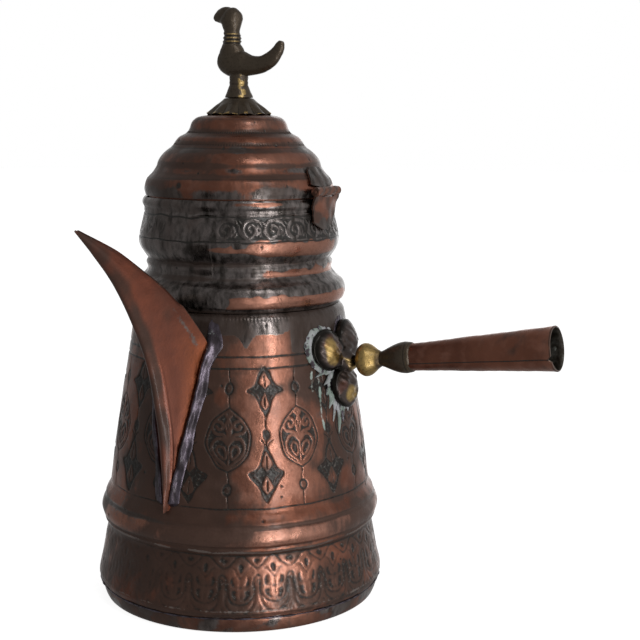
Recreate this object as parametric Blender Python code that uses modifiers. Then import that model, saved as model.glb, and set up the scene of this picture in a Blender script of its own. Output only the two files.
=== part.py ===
"""Side-handled copper coffee pot (dallah) with a beak spout, a hinged lid and a bird finial.

Frame: the origin is the centre of the flat base, +Z is up, the handle and the lid's hinge lie
towards +X and the spout towards -Y. Lengths below are in millimetres and become metres at MM.
"""
from math import cos, pi, radians, sin, sqrt

import bmesh
import bpy
from mathutils import Matrix, Vector

MM = 0.001
GAP = 0.3                    # clearance that soldered or nested neighbours keep
SIDES = 36                   # facets round the pot's large turned sheets
SMALL_SIDES = 20             # facets round the small turned pieces

# Sheet metal
SHEET = 1.0                  # raised body, collar and lid
BASE_SHEET = 1.2
TUBE_SHEET = 0.9
SPOUT_SHEET = 1.0
FOLD_SHEET = 1.6             # thickness along the section at the keel's fold

# Outer radius and height of the points that shape each turned sheet, from the top down
CONE = [(53.3, 144.0), (57.0, 120.0), (60.4, 100.0), (63.7, 80.0), (66.2, 60.5)]
SHOULDER = [(50.4, 149.7), (52.0, 147.8)]
WAIST_BEAD = [(66.6, 57.3), (69.2, 52.5), (70.8, 45.8), (69.9, 40.6), (68.1, 36.6)]
FOOT_FLARE = [(69.2, 32.0), (71.2, 21.0), (72.5, 15.5), (73.3, 11.2), (72.6, 8.6)]
COLLAR = [
    (47.3, 204.7), (48.2, 202.6), (48.3, 199.6), (47.6, 197.2),              # rolled rim
    (48.1, 192.5), (50.0, 184.4), (50.3, 181.4), (49.4, 177.6), (46.6, 173.4),  # engraved cup
    (45.8, 172.2), (46.9, 170.2), (46.3, 167.2),                             # small bead
    (48.6, 164.0), (52.3, 161.0), (53.7, 156.8), (52.9, 153.4), (50.4, 150.0),  # big bead
]
LID = [
    (3.0, 243.3), (19.0, 243.1), (22.0, 241.9), (23.6, 239.6), (24.6, 236.0),   # top button
    (26.2, 233.8), (29.6, 231.9), (31.4, 230.0), (33.2, 227.5),              # beaded step
    (37.4, 224.0), (40.0, 220.6), (41.2, 217.2), (43.2, 214.3),              # dome and cove
    (46.0, 211.4), (47.2, 208.2), (46.7, 205.4),                             # hem bead
]
BASE_PAN = [(70.7, 15.0), (71.1, 9.2), (71.6, 7.0), (70.8, 3.0), (69.9, 0.8), (68.8, 0.0), (0.0, 0.0)]
BASE_SOLDER_RADIUS = 72.35
BASE_SOLDER_HEIGHT = 7.8
BASE_SOLDER_BEAD = 0.42

# Lid flange, which drops into the mouth and centres the lid
FLANGE_RADIUS = 45.0
FLANGE_LOW = 197.0
FLANGE_TOP = 208.4
FLANGE_SHEET = 0.7

# Hinge at the back of the lid, its axis along Y
HINGE_X = 49.9
HINGE_Z = 206.4
BARREL_RADIUS = 2.3
BARREL_BORE = 1.08
PIN_RADIUS = 1.0
BARREL_LENGTH = 24.0
LID_KNUCKLE_LENGTH = 11.0
LEAF_SHEET = 1.0
PIN_OVERHANG = 0.8
# Outer radius, height, half width and roundness of each plate, from its lower edge up
STRAP = [(50.9, 186.2, 3.0, 1.0), (50.6, 188.0, 6.4, 1.0), (50.0, 192.0, 9.0, 1.0), (49.8, 197.0, 11.2, 1.0),
         (49.9, 200.4, 11.9, 0.8), (50.2, 203.0, 11.9, 0.2), (50.4, 204.8, 11.9, 0.0)]
LEAF = [(48.9, 207.3, 5.4, 0.0), (48.7, 208.8, 5.4, 0.3), (48.3, 209.8, 10.5, 1.0), (47.3, 212.2, 10.0, 1.0),
        (44.7, 215.1, 8.0, 1.0), (42.7, 217.9, 5.0, 1.0)]

# Handle, whose axis rises towards its open end
HANDLE_X = 60.0
HANDLE_Z = 123.6
HANDLE_RISE = radians(8.2)
KNOP = [(2.4, 3.0), (2.4, 8.6), (6.0, 8.9), (8.0, 11.2), (8.2, 12.8), (7.2, 15.2), (4.6, 18.6), (3.85, 20.2),
        (2.2, 20.2), (2.2, 27.6)]
FERRULE = [(2.5, 20.6), (3.85, 20.6), (4.6, 23.2), (6.9, 29.0), (7.65, 32.6), (7.4, 35.4), (6.6, 36.6),
           (5.2, 36.7), (5.2, 46.0), (0.0, 46.0)]
FERRULE_BORE_END = 28.0
TUBE_START, TUBE_END = 37.0, 108.6
TUBE_START_RADIUS, TUBE_END_RADIUS = 6.5, 10.35

# Trefoil escutcheon under the handle, its outline measured along the wall
LOBE_ANGLES = [radians(48), radians(147), radians(268)]
LOBE_REACH = 12.5
LOBE_RADIUS = 10.0
LOBE_HEIGHT = 6.0
BOSS_RADIUS = 6.5
BOSS_HEIGHT = 9.4
SOLDER_MARGIN = 2.6
SOLDER_THICKNESS = 0.9
STUD_BORE = 2.7

# Spout: reach from the pot's axis and height of the folded keel, and half width, reach and
# height of the cheek's edge, both from the foot of the spout to its tip
KEEL = [(70.0, 56.0), (69.7, 68.0), (70.6, 88.0), (74.6, 108.0), (80.6, 129.0), (91.0, 149.0),
        (104.0, 168.0), (118.0, 182.4), (131.0, 193.9)]
EDGE = [(2.0, 64.0, 57.5), (5.0, 62.0, 71.0), (9.6, 58.5, 92.0), (14.0, 52.5, 113.0), (15.4, 50.5, 129.0),
        (14.4, 59.0, 143.5), (12.6, 82.0, 166.0), (7.6, 107.0, 184.4), (1.2, 129.2, 194.3)]
KEEL_ROUNDING = 0.16         # share of the half width that the fold's rounding takes
SOLDER_FILLET = [(1.6, 0.35), (6.4, 0.35), (6.2, 0.8), (3.4, 1.4), (2.4, 2.3), (1.8, 2.3)]
FILLET_LOW, FILLET_HIGH = 62.0, 133.0

# Strainer holes through the wall behind the spout
STRAINER_HOLE = 1.8
STRAINER_ROWS = [(78.0, 1), (88.0, 2), (98.0, 3), (108.0, 4), (118.0, 3)]
STRAINER_PITCH = 6.4

# Finial
SKIRT = [(4.6, 251.0), (7.4, 250.9), (11.0, 248.6), (15.4, 245.9), (16.8, 244.2), (16.0, 243.6), (2.9, 243.6)]
SKIRT_INNER = [(2.9, 247.4), (4.6, 247.4)]
LIMB_SIDES = 10
FLUTES = 12
FLUTE_DEPTH = 0.055          # share of the radius
STUD_RADIUS = 2.5
PEDESTAL = [(0.0, 262.0), (4.9, 261.6), (4.6, 259.0), (5.6, 255.0), (7.2, 251.3), (4.2, 251.3), (4.2, 247.8),
            (STUD_RADIUS, 247.8), (STUD_RADIUS, 240.3), (3.7, 240.2), (3.3, 239.0), (0.0, 238.7)]
WASHER = [(STUD_RADIUS + GAP, 241.9), (6.5, 241.9), (6.5, 240.7), (STUD_RADIUS + GAP, 240.7)]
# x, z and the half thickness in the bird's plane, and across it
BIRD_BODY = [(-11.9, 270.4, 0.9, 0.7), (-10.2, 270.0, 4.2, 3.6), (-5.0, 268.9, 7.2, 5.6), (1.0, 267.8, 6.6, 5.6),
             (7.6, 266.8, 4.9, 4.4), (13.4, 267.3, 4.2, 3.5), (18.2, 269.6, 3.9, 3.0), (21.9, 273.2, 3.1, 2.4),
             (23.9, 276.8, 2.0, 1.6), (24.4, 279.0, 0.7, 0.6)]
BIRD_NECK = [(-4.4, 266.4, 4.6, 4.4), (-3.9, 273.0, 6.6, 5.2), (-3.9, 277.6, 5.2, 4.8), (-3.8, 280.4, 4.5, 4.4),
             (-3.6, 283.2, 4.3, 4.1), (-3.6, 286.6, 5.0, 4.6), (-4.0, 290.0, 6.0, 5.2), (-4.8, 292.8, 5.0, 4.2),
             (-5.8, 294.8, 2.8, 2.4), (-6.1, 295.5, 0.8, 0.8)]
BIRD_BEAK = [(-3.0, 290.4, 3.6, 3.2), (-8.2, 291.6, 3.4, 2.8), (-11.6, 291.6, 2.3, 1.8), (-13.6, 290.8, 1.1, 0.9),
             (-14.2, 290.4, 0.4, 0.4)]

MATERIALS = {
    "aged_copper": ((0.33, 0.13, 0.08, 1), 0.38),
    "bright_copper": ((0.52, 0.19, 0.10, 1), 0.34),
    "cast_brass": ((0.42, 0.29, 0.12, 1), 0.36),
    "dark_brass": ((0.13, 0.10, 0.06, 1), 0.42),
    "solder": ((0.45, 0.45, 0.49, 1), 0.40),
    "iron_wire": ((0.20, 0.17, 0.15, 1), 0.55),
}


def clear_scene():
    for item in list(bpy.data.objects):
        bpy.data.objects.remove(item, do_unlink=True)


def new_collection(name):
    collection = bpy.data.collections.new(name)
    bpy.context.scene.collection.children.link(collection)
    return collection


def new_material(name):
    colour, roughness = MATERIALS[name]
    material = bpy.data.materials.new(name)
    material.use_nodes = True
    shader = material.node_tree.nodes["Principled BSDF"]
    shader.inputs["Base Color"].default_value = colour
    shader.inputs["Metallic"].default_value = 1.0
    shader.inputs["Roughness"].default_value = roughness
    return material


def add_object(name, bm, material, home=None):
    """Turn a bmesh in millimetres into a named object in metres."""
    bmesh.ops.scale(bm, vec=(MM, MM, MM), verts=bm.verts)
    mesh = bpy.data.meshes.new(name)
    bm.to_mesh(mesh)
    bm.free()
    item = bpy.data.objects.new(name, mesh)
    (home or PARTS).objects.link(item)
    if material:
        mesh.materials.append(SLOTS[material])
    mesh.shade_smooth()
    mesh.set_sharp_from_angle(angle=radians(32))
    return item


def add_solidify(item, thickness):
    """Give an outward-facing surface its sheet thickness, on the inside."""
    solidify = item.modifiers.new("sheet", "SOLIDIFY")
    solidify.thickness = thickness * MM
    solidify.offset = -1.0
    solidify.use_even_offset = True


def add_cut(item, cutter):
    cut = item.modifiers.new("cut_" + cutter.name, "BOOLEAN")
    cut.operation = "DIFFERENCE"
    cut.solver = "EXACT"
    cut.object = cutter


def add_union(item, other, solver="EXACT"):
    union = item.modifiers.new("join_" + other.name, "BOOLEAN")
    union.operation = "UNION"
    union.solver = solver
    union.object = other


def add_box(name, centre, size):
    """Box-shaped cutter."""
    bm = bmesh.new()
    bmesh.ops.create_cube(bm, size=1.0)
    bmesh.ops.scale(bm, vec=size, verts=bm.verts)
    bmesh.ops.translate(bm, vec=centre, verts=bm.verts)
    box = add_object(name, bm, None, CUTTERS)
    hide_cutter(box)
    return box


def hide_cutter(item):
    item.hide_render = True
    item.display_type = "WIRE"


def smooth_path(points, steps):
    """Points along a Catmull-Rom curve through the given points, of any dimension."""
    ends = [tuple(2 * a - b for a, b in zip(points[0], points[1]))]
    ends += list(points)
    ends.append(tuple(2 * a - b for a, b in zip(points[-1], points[-2])))
    path = []
    for start in range(1, len(ends) - 2):
        before, here, there, after = ends[start - 1:start + 3]
        for step in range(steps):
            t = step / steps
            path.append(tuple(
                0.5 * (2 * b + (c - a) * t + (2 * a - 5 * b + 4 * c - d) * t ** 2
                       + (3 * b - a - 3 * c + d) * t ** 3)
                for a, b, c, d in zip(before, here, there, after)))
    path.append(tuple(points[-1]))
    return path


def add_turned(name, profile, material, sides=SIDES, sheet=None, ring=False, home=None):
    """Revolve an outer profile of (radius, height), given from the top down, about +Z.

    A ring's profile is a closed section, and sheet thickens an open one on its inside.
    """
    bm = bmesh.new()
    verts = [bm.verts.new((radius, 0, height)) for radius, height in profile]
    for upper, lower in zip(verts, verts[1:]):
        bm.edges.new((upper, lower))
    if ring:
        bm.edges.new((verts[-1], verts[0]))
    item = add_object(name, bm, material, home)
    screw = item.modifiers.new("turn", "SCREW")
    screw.axis = "Z"
    screw.angle = 2 * pi
    screw.steps = sides
    screw.render_steps = sides
    screw.use_merge_vertices = True
    screw.merge_threshold = 0.00001
    screw.use_normal_calculate = False
    if sheet:
        add_solidify(item, sheet)
    return item


def add_surface(name, across, along, place, material, closed=True, home=None):
    """A grid whose point at (u, v), both from 0 to 1, is put at place(u, v).

    An open surface faces along the cross product of the u and v directions.
    """
    bm = bmesh.new()
    bmesh.ops.create_grid(bm, x_segments=across, y_segments=along, size=0.5)
    for vert in bm.verts:
        vert.co = Vector(place(vert.co.x + 0.5, vert.co.y + 0.5))
    if closed:
        bmesh.ops.remove_doubles(bm, verts=bm.verts, dist=0.001)
        bmesh.ops.holes_fill(bm, edges=bm.edges, sides=0)
        bmesh.ops.recalc_face_normals(bm, faces=bm.faces)
    return add_object(name, bm, material, home)


def wall_radius(height):
    """Outer radius of the body's cone at a height."""
    for (upper_r, upper_z), (lower_r, lower_z) in zip(WALL, WALL[1:]):
        if lower_z <= height <= upper_z:
            share = (height - lower_z) / (upper_z - lower_z)
            return lower_r + share * (upper_r - lower_r)
    return WALL[0][0] if height > WALL[0][1] else WALL[-1][0]


def on_wall(arc, height, lift, start=0.0):
    """Point lifted off the wall, at an arc length from the direction start."""
    radius = wall_radius(height)
    angle = start + arc / radius
    return ((radius + lift) * cos(angle), (radius + lift) * sin(angle), height)


def lay_on_handle(item):
    """Turn an object modelled along +Z so that it lies on the handle's axis."""
    item.location = (HANDLE_X * MM, 0, HANDLE_Z * MM)
    item.rotation_euler = (0, pi / 2 - HANDLE_RISE, 0)


# ---- vessel -------------------------------------------------------------------------------

def body_profile():
    return WALL + smooth_path(WAIST_BEAD, 2) + FOOT_FLARE


def make_strainer_cutters():
    """Round cutters through the wall behind the spout, joined in one mesh."""
    bm = bmesh.new()
    for height, count in STRAINER_ROWS:
        for place in range(count):
            offset = (place - (count - 1) / 2) * STRAINER_PITCH
            reach = sqrt(wall_radius(height) ** 2 - offset ** 2)
            turn = Matrix.Translation((offset, -reach, height)) @ Matrix.Rotation(pi / 2, 4, "X")
            bmesh.ops.create_cone(bm, cap_ends=True, segments=8, radius1=STRAINER_HOLE,
                                  radius2=STRAINER_HOLE, depth=8.0, matrix=turn)
    cutter = add_object("strainer_cutters", bm, None, CUTTERS)
    hide_cutter(cutter)
    return cutter


def make_vessel():
    body = add_turned("body_shell", body_profile(), "aged_copper", sheet=SHEET)
    add_cut(body, make_strainer_cutters())
    add_turned("base_pan", BASE_PAN, "aged_copper", sheet=BASE_SHEET)
    add_turned("neck_collar", COLLAR, "aged_copper", sheet=SHEET)
    bead = [(BASE_SOLDER_RADIUS + BASE_SOLDER_BEAD * sin(turn * pi / 3),
             BASE_SOLDER_HEIGHT + BASE_SOLDER_BEAD * cos(turn * pi / 3)) for turn in range(6)]
    add_turned("base_solder", bead, "solder", ring=True)


# ---- spout --------------------------------------------------------------------------------

def spout_point(across, depth, keel, edge):
    """Point of a folded section: across is -1 to 1 between the cheeks, depth 0 or 1 outer or inner."""
    (reach, height), (half_width, edge_reach, edge_height) = keel, edge
    rounded = sqrt(across ** 2 + KEEL_ROUNDING ** 2) - KEEL_ROUNDING
    share = rounded / (sqrt(1 + KEEL_ROUNDING ** 2) - KEEL_ROUNDING)
    chord = sqrt((edge_reach - reach) ** 2 + (edge_height - height) ** 2)
    share += depth * (1 - share) * min(FOLD_SHEET / chord, 0.5)
    half_width -= depth * min(SPOUT_SHEET, 0.5 * half_width)
    return (half_width * across, -(reach + share * (edge_reach - reach)),
            height + share * (edge_height - height))


def make_spout():
    keel = smooth_path(KEEL, 2)
    edge = smooth_path(EDGE, 2)
    stations = len(keel) - 1
    columns = 12

    def place(u, v):
        station = round(v * stations)
        column = round(u * (2 * columns + 2)) % (2 * columns + 2)
        if column <= columns:
            return spout_point(2 * column / columns - 1, 0, keel[station], edge[station])
        column = 2 * columns + 1 - column
        return spout_point(2 * column / columns - 1, 1, keel[station], edge[station])

    beak = add_surface("spout_beak", 2 * columns + 2, stations, place, "bright_copper")
    clear = [(radius + GAP, height) for radius, height in body_profile() if height > 33]
    clear = [(0.0, 149.7 + GAP), (clear[0][0], 149.7 + GAP)] + clear + [(0.0, clear[-1][1])]
    cutter = add_turned("spout_wall_cutter", clear, None, home=CUTTERS)
    hide_cutter(cutter)
    add_cut(beak, cutter)
    for side, name in ((1, "spout_solder_right"), (-1, "spout_solder_left")):
        make_fillet(name, side)


def joint_half_width(height):
    """Half width of the spout where it meets the wall, at a height."""
    keel = smooth_path(KEEL, 6)
    edge = smooth_path(EDGE, 6)
    best = (1e9, 0.0)
    for (reach, low), (half_width, edge_reach, high) in zip(keel, edge):
        for step in range(41):
            share = step / 40
            z = low + share * (high - low)
            across = half_width * share
            radius = sqrt((reach + share * (edge_reach - reach)) ** 2 + across ** 2)
            miss = abs(z - height) + abs(radius - wall_radius(height))
            best = min(best, (miss, across))
    return best[1]


def make_fillet(name, side):
    """Solder run along one joint between the spout's cheek and the wall."""
    stations = 12
    corners = len(SOLDER_FILLET)
    heights = [FILLET_LOW + (FILLET_HIGH - FILLET_LOW) * step / stations for step in range(stations + 1)]
    joints = [joint_half_width(height) for height in heights]

    def place(u, v):
        away, lift = SOLDER_FILLET[round(u * corners) % corners]
        station = round(v * stations)
        return on_wall(side * (joints[station] + away), heights[station], lift, start=-pi / 2)

    add_surface(name, corners, stations, place, "solder")


# ---- handle -------------------------------------------------------------------------------

def trefoil_reach(angle, margin):
    """Distance from the trefoil's centre to its outline, grown by a margin."""
    reach = BOSS_RADIUS + margin
    for lobe in LOBE_ANGLES:
        sideways = LOBE_REACH * sin(angle - lobe)
        radius = LOBE_RADIUS + margin
        forward = LOBE_REACH * cos(angle - lobe)
        if abs(sideways) < radius and forward > 0:
            reach = max(reach, forward + sqrt(radius ** 2 - sideways ** 2))
    return reach


def trefoil_height(across, up):
    """Height of the domed lobes over the wall, at a place measured from the centre."""
    height = 0.0
    for lobe in LOBE_ANGLES:
        distance = sqrt((across - LOBE_REACH * cos(lobe)) ** 2 + (up - LOBE_REACH * sin(lobe)) ** 2)
        height = max(height, LOBE_HEIGHT * sqrt(max(0.0, 1 - (distance / LOBE_RADIUS) ** 2)))
    centre = sqrt(across ** 2 + up ** 2) / BOSS_RADIUS
    return max(height, BOSS_HEIGHT * sqrt(max(0.0, 1 - centre ** 4)))


def add_wall_pad(name, material, margin, low, top):
    """Closed pad on the wall with the trefoil's outline: low below, top(across, up) above."""
    rings, spokes = 6, 36

    def place(u, v):
        angle = 2 * pi * u
        level = v * 2 * rings
        share = min(level, 2 * rings - level) / rings
        reach = trefoil_reach(angle, margin) * share
        across, up = reach * cos(angle), reach * sin(angle)
        lift = top(across, up) if level <= rings else low
        return on_wall(across, HANDLE_Z + up, lift)

    return add_surface(name, spokes, 2 * rings, place, material)


def make_handle():
    add_wall_pad("escutcheon_solder", "solder", SOLDER_MARGIN, GAP, lambda across, up: GAP + SOLDER_THICKNESS)
    base = 2 * GAP + SOLDER_THICKNESS
    escutcheon = add_wall_pad("escutcheon", "cast_brass", 0.0, base,
                              lambda across, up: base + 0.8 + trefoil_height(across, up))
    bore = add_turned("stud_bore_cutter", [(0.0, 20.0), (STUD_BORE, 20.0), (STUD_BORE, 2.7), (0.0, 2.7)],
                      None, SMALL_SIDES, home=CUTTERS)
    lay_on_handle(bore)
    hide_cutter(bore)
    add_cut(escutcheon, bore)
    knop = add_turned("handle_knop", [(0.0, KNOP[-1][1])] + KNOP[::-1] + [(0.0, KNOP[0][1])], "cast_brass",
                      SMALL_SIDES)
    ferrule_outline = [(0.0, FERRULE[-1][1])] + FERRULE[-2:0:-1]
    ferrule_outline += [(FERRULE[0][0], FERRULE[0][1]), (FERRULE[0][0], FERRULE_BORE_END), (0.0, FERRULE_BORE_END)]
    ferrule = add_turned("handle_ferrule", ferrule_outline, "dark_brass", SMALL_SIDES)
    tube = add_turned("handle_tube", [(TUBE_END_RADIUS, TUBE_END), (TUBE_START_RADIUS, TUBE_START)], "aged_copper",
                      SMALL_SIDES + 4, sheet=TUBE_SHEET)
    for piece in (knop, ferrule, tube):
        lay_on_handle(piece)


# ---- hinge --------------------------------------------------------------------------------

def add_leaf(name, stations, material):
    """Hinge plate: each station is its outer radius, height, half width and how round it is."""
    rows = len(stations) - 1
    columns = 8

    def place(u, v):
        radius, height, half, roundness = stations[round(v * rows)]
        arc = (2 * u - 1) * half
        bent = (radius * cos(arc / radius), radius * sin(arc / radius))
        return (radius + roundness * (bent[0] - radius), arc + roundness * (bent[1] - arc), height)

    leaf = add_surface(name, columns, rows, place, material, closed=False)
    add_solidify(leaf, LEAF_SHEET)
    return leaf


def add_knuckles(leaf, stretches):
    """Join barrel tubes round the hinge's axis to a leaf, each between two places along Y."""
    for start, end in stretches:
        section = [(BARREL_RADIUS, end), (BARREL_RADIUS, start), (BARREL_BORE, start), (BARREL_BORE, end)]
        name = "%s_knuckle_%d" % (leaf.name, len(leaf.modifiers))
        knuckle = add_turned(name, section, None, SMALL_SIDES, ring=True, home=CUTTERS)
        lay_on_hinge(knuckle)
        hide_cutter(knuckle)
        add_union(leaf, knuckle, solver="MANIFOLD")


def lay_on_hinge(item):
    """Turn an object modelled along +Z so that it lies on the hinge's axis, along +Y."""
    item.location = (HINGE_X * MM, 0, HINGE_Z * MM)
    item.rotation_euler = (-pi / 2, 0, 0)


def make_hinge():
    outer = BARREL_LENGTH / 2
    middle = LID_KNUCKLE_LENGTH / 2
    strap = add_leaf("hinge_strap", STRAP, "aged_copper")
    notch = add_box("strap_notch_cutter", (HINGE_X, 0, 207.6), (8.0, 2 * middle + 4 * GAP, 8.0))
    add_cut(strap, notch)
    add_knuckles(strap, [(middle + GAP, outer), (-outer, -middle - GAP)])
    leaf = add_leaf("lid_leaf", LEAF, "aged_copper")
    add_knuckles(leaf, [(-middle, middle)])
    pin_end = outer + PIN_OVERHANG
    pin = add_turned("hinge_pin", [(0.0, pin_end), (PIN_RADIUS, pin_end), (PIN_RADIUS, -pin_end), (0.0, -pin_end)],
                     "iron_wire", SMALL_SIDES)
    lay_on_hinge(pin)


# ---- lid ----------------------------------------------------------------------------------

def make_lid():
    add_turned("lid_dome", LID, "aged_copper", sheet=SHEET)
    flange = [(FLANGE_RADIUS, FLANGE_TOP), (FLANGE_RADIUS, FLANGE_LOW)]
    add_turned("lid_flange", flange, "aged_copper", sheet=FLANGE_SHEET)


# ---- finial -------------------------------------------------------------------------------

def add_limb(name, stations, material, home=None):
    """Tapering limb in the XZ plane: each station is x, z, half thickness in and across it."""
    path = smooth_path(stations, 1)
    rings = []
    for index, (x, z, in_plane, across) in enumerate(path):
        ahead = path[min(index + 1, len(path) - 1)]
        behind = path[max(index - 1, 0)]
        heading = Vector((ahead[0] - behind[0], 0, ahead[1] - behind[1])).normalized()
        side = Vector((heading.z, 0, -heading.x))
        rings.append((Vector((x, 0, z)), side * max(in_plane, 0.3), Vector((0, max(across, 0.3), 0))))

    def place(u, v):
        centre, side, thick = rings[int(round(v * (len(rings) - 1)))]
        angle = 2 * pi * u
        return centre + side * cos(angle) + thick * sin(angle)

    return add_surface(name, LIMB_SIDES, len(rings) - 1, place, material, home=home)


def make_finial():
    bird = add_limb("finial_bird", BIRD_BODY, "dark_brass")
    neck = add_limb("bird_neck_join", BIRD_NECK, None, home=CUTTERS)
    beak = add_limb("bird_beak_join", BIRD_BEAK, None, home=CUTTERS)
    pedestal = add_turned("bird_pedestal_join", PEDESTAL, None, SMALL_SIDES, home=CUTTERS)
    for piece in (neck, beak, pedestal):
        hide_cutter(piece)
        add_union(bird, piece)
    outline = SKIRT + SKIRT_INNER
    corners = len(outline)

    def place(u, v):
        radius, height = outline[round(v * corners) % corners]
        angle = 2 * pi * u
        if radius > 10:
            radius *= 1 + FLUTE_DEPTH * (cos(FLUTES * angle) - 1) / 2
        return (radius * cos(angle), radius * sin(angle), height)

    add_surface("finial_skirt", 4 * FLUTES, corners, place, "dark_brass")
    add_turned("finial_washer", WASHER, "cast_brass", SMALL_SIDES, ring=True)


clear_scene()
PARTS = new_collection("dallah_coffee_pot")
CUTTERS = new_collection("cutters")
SLOTS = {name: new_material(name) for name in MATERIALS}
WALL = SHOULDER + CONE

make_vessel()
make_spout()
make_handle()
make_hinge()
make_lid()
make_finial()
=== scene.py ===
"""Looks for the side-handled copper coffee pot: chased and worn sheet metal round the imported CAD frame.

Shapes are worked out in millimetres, with the origin at the centre of the base, +Z up, the spout
towards -Y and the handle and hinge towards +X, and become metres as each mesh is made.
"""

from math import cos, pi, radians, sin, sqrt

import bmesh
import bpy
import numpy as np
from mathutils import Matrix, Vector


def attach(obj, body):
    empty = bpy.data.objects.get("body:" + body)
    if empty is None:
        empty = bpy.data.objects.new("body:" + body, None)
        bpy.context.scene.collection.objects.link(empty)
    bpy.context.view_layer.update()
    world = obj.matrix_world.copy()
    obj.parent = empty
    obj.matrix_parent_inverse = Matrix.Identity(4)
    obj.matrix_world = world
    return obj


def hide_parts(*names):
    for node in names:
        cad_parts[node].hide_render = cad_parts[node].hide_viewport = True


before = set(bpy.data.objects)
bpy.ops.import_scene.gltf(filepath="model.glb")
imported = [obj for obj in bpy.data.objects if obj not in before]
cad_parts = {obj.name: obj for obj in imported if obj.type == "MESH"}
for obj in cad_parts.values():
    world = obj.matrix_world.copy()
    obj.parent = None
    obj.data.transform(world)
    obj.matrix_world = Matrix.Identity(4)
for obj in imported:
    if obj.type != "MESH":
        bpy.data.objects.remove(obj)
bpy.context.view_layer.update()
MM = 0.001

# ---- profiles, in step with the CAD: outer radius and height, from the top down ----
BODY = [(50.4, 149.7), (52.0, 147.8), (53.3, 144.0), (57.0, 120.0), (60.4, 100.0), (63.7, 80.0), (66.2, 60.5),
        (66.6, 57.3), (69.2, 52.5), (70.8, 45.8), (69.9, 40.6), (68.1, 36.6), (69.2, 32.0), (71.2, 21.0),
        (72.5, 15.5), (73.3, 11.2), (72.6, 8.6)]
COLLAR = [(47.3, 202.7), (48.2, 201.4), (48.4, 199.4), (47.5, 197.2), (48.1, 192.5), (50.0, 184.4),
          (50.3, 181.4), (49.4, 177.6), (46.6, 173.4), (45.8, 172.2), (46.9, 170.2), (46.3, 167.2),
          (48.6, 164.0), (52.3, 161.0), (53.7, 156.8), (52.9, 153.4), (50.4, 150.0)]
LID = [(3.0, 243.3), (12.0, 242.9), (18.6, 242.2), (22.0, 240.9), (23.7, 238.8), (24.6, 236.0),
       (26.2, 233.8), (29.6, 231.9), (31.4, 230.0), (33.2, 227.5), (37.4, 224.0), (40.0, 220.6),
       (41.2, 217.2), (43.2, 214.3), (46.0, 211.4), (47.4, 206.8), (46.8, 203.4)]
WALL = BODY[:7]  # what the spout and the handle stand on
BASE_PAN = [(70.7, 15.0), (71.1, 9.2), (71.6, 7.0), (70.8, 3.0), (69.9, 0.8), (68.8, 0.05), (60.0, 0.0),
            (0.4, 0.0)]
KEEL = [(70.0, 56.0), (69.7, 68.0), (70.6, 88.0), (74.6, 108.0), (80.6, 129.0), (91.0, 149.0), (104.0, 168.0),
        (118.0, 182.4), (131.0, 193.9)]
EDGE = [(2.0, 64.0, 57.5), (5.0, 62.0, 71.0), (9.6, 58.5, 92.0), (14.0, 52.5, 113.0), (15.4, 50.5, 129.0),
        (14.4, 59.0, 143.5), (12.6, 82.0, 165.6), (7.6, 107.0, 182.4), (1.2, 129.2, 194.3)]
HANDLE_X, HANDLE_Z, HANDLE_RISE = 60.0, 123.6, radians(8.2)
HINGE_X, HINGE_Z = 49.9, 206.4

# ---- camera and surroundings, in metres ----
CAMERA_TURN, CAMERA_TILT, CAMERA_ROLL = radians(28.0), radians(8.72), radians(0.31)
CAMERA_REACH, CAMERA_SIDE, CAMERA_HEIGHT = 0.648, 0.0409, 0.2389
FOCAL_LENGTH, SENSOR_WIDTH = 72.17, 36.0
# each glow: degrees round from -Y and above the horizon, half spread in degrees, and strength
WORLD_GLOWS = [(76, 0, 58, 0.24), (120, 5, 70, 0.2), (210, -4, 32, 0.9), (190, 0, 30, 0.7),
               (205, 8, 80, 0.15)]
WORLD_DIM = 0.25
LIGHT_CENTRE = Vector((0, 0, 0.15))  # what the lights aim at


def make_camera():
    """Long lens a little above the pot, from between the spout and the handle."""
    level = cos(CAMERA_TILT)
    ahead = Vector((-sin(CAMERA_TURN) * level, cos(CAMERA_TURN) * level, -sin(CAMERA_TILT)))
    side = Vector((cos(CAMERA_TURN), sin(CAMERA_TURN), 0.0))
    above = side.cross(ahead)
    right = side * cos(CAMERA_ROLL) + above * sin(CAMERA_ROLL)
    up = above * cos(CAMERA_ROLL) - side * sin(CAMERA_ROLL)
    place = Vector((sin(CAMERA_TURN) * CAMERA_REACH, -cos(CAMERA_TURN) * CAMERA_REACH, CAMERA_HEIGHT))
    place += side * CAMERA_SIDE
    lens = bpy.data.cameras.new("camera")
    lens.sensor_width = SENSOR_WIDTH
    lens.lens = FOCAL_LENGTH
    camera = linked("camera", lens)
    camera.matrix_world = Matrix(((right.x, up.x, -ahead.x, place.x), (right.y, up.y, -ahead.y, place.y),
                                  (right.z, up.z, -ahead.z, place.z), (0, 0, 0, 1)))
    bpy.context.scene.camera = camera


# ---- small tools ----

def curve(points, steps):
    """Points along a Catmull-Rom curve through the given points, of any dimension."""
    p = np.asarray(points, float)
    p = np.vstack([2 * p[0] - p[1], p, 2 * p[-1] - p[-2]])
    t = np.arange(steps)[:, None] / steps
    parts = []
    for a, b, c, d in zip(p, p[1:], p[2:], p[3:]):
        square, cube = 2 * a - 5 * b + 4 * c - d, 3 * b - a - 3 * c + d
        parts.append(0.5 * (2 * b + (c - a) * t + square * t ** 2 + cube * t ** 3))
    return np.vstack(parts + [p[-2:-1]])


def step(low, high, value):
    """Smooth step from 0 to 1 as value goes from low to high."""
    t = np.clip((value - low) / (high - low), 0.0, 1.0)
    return t * t * (3 - 2 * t)


def fade(low, high, value):
    """Smooth step from 1 to 0 as value goes from low to high."""
    return 1 - step(low, high, value)


def window(value, low, risen, falling, high):
    """0 outside low to high, and 1 from risen to falling."""
    return step(low, risen, value) * fade(falling, high, value)


def hump(value, middle, width):
    """1 at the middle, falling away smoothly to each side."""
    return np.exp(-((value - middle) / width) ** 2)


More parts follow.
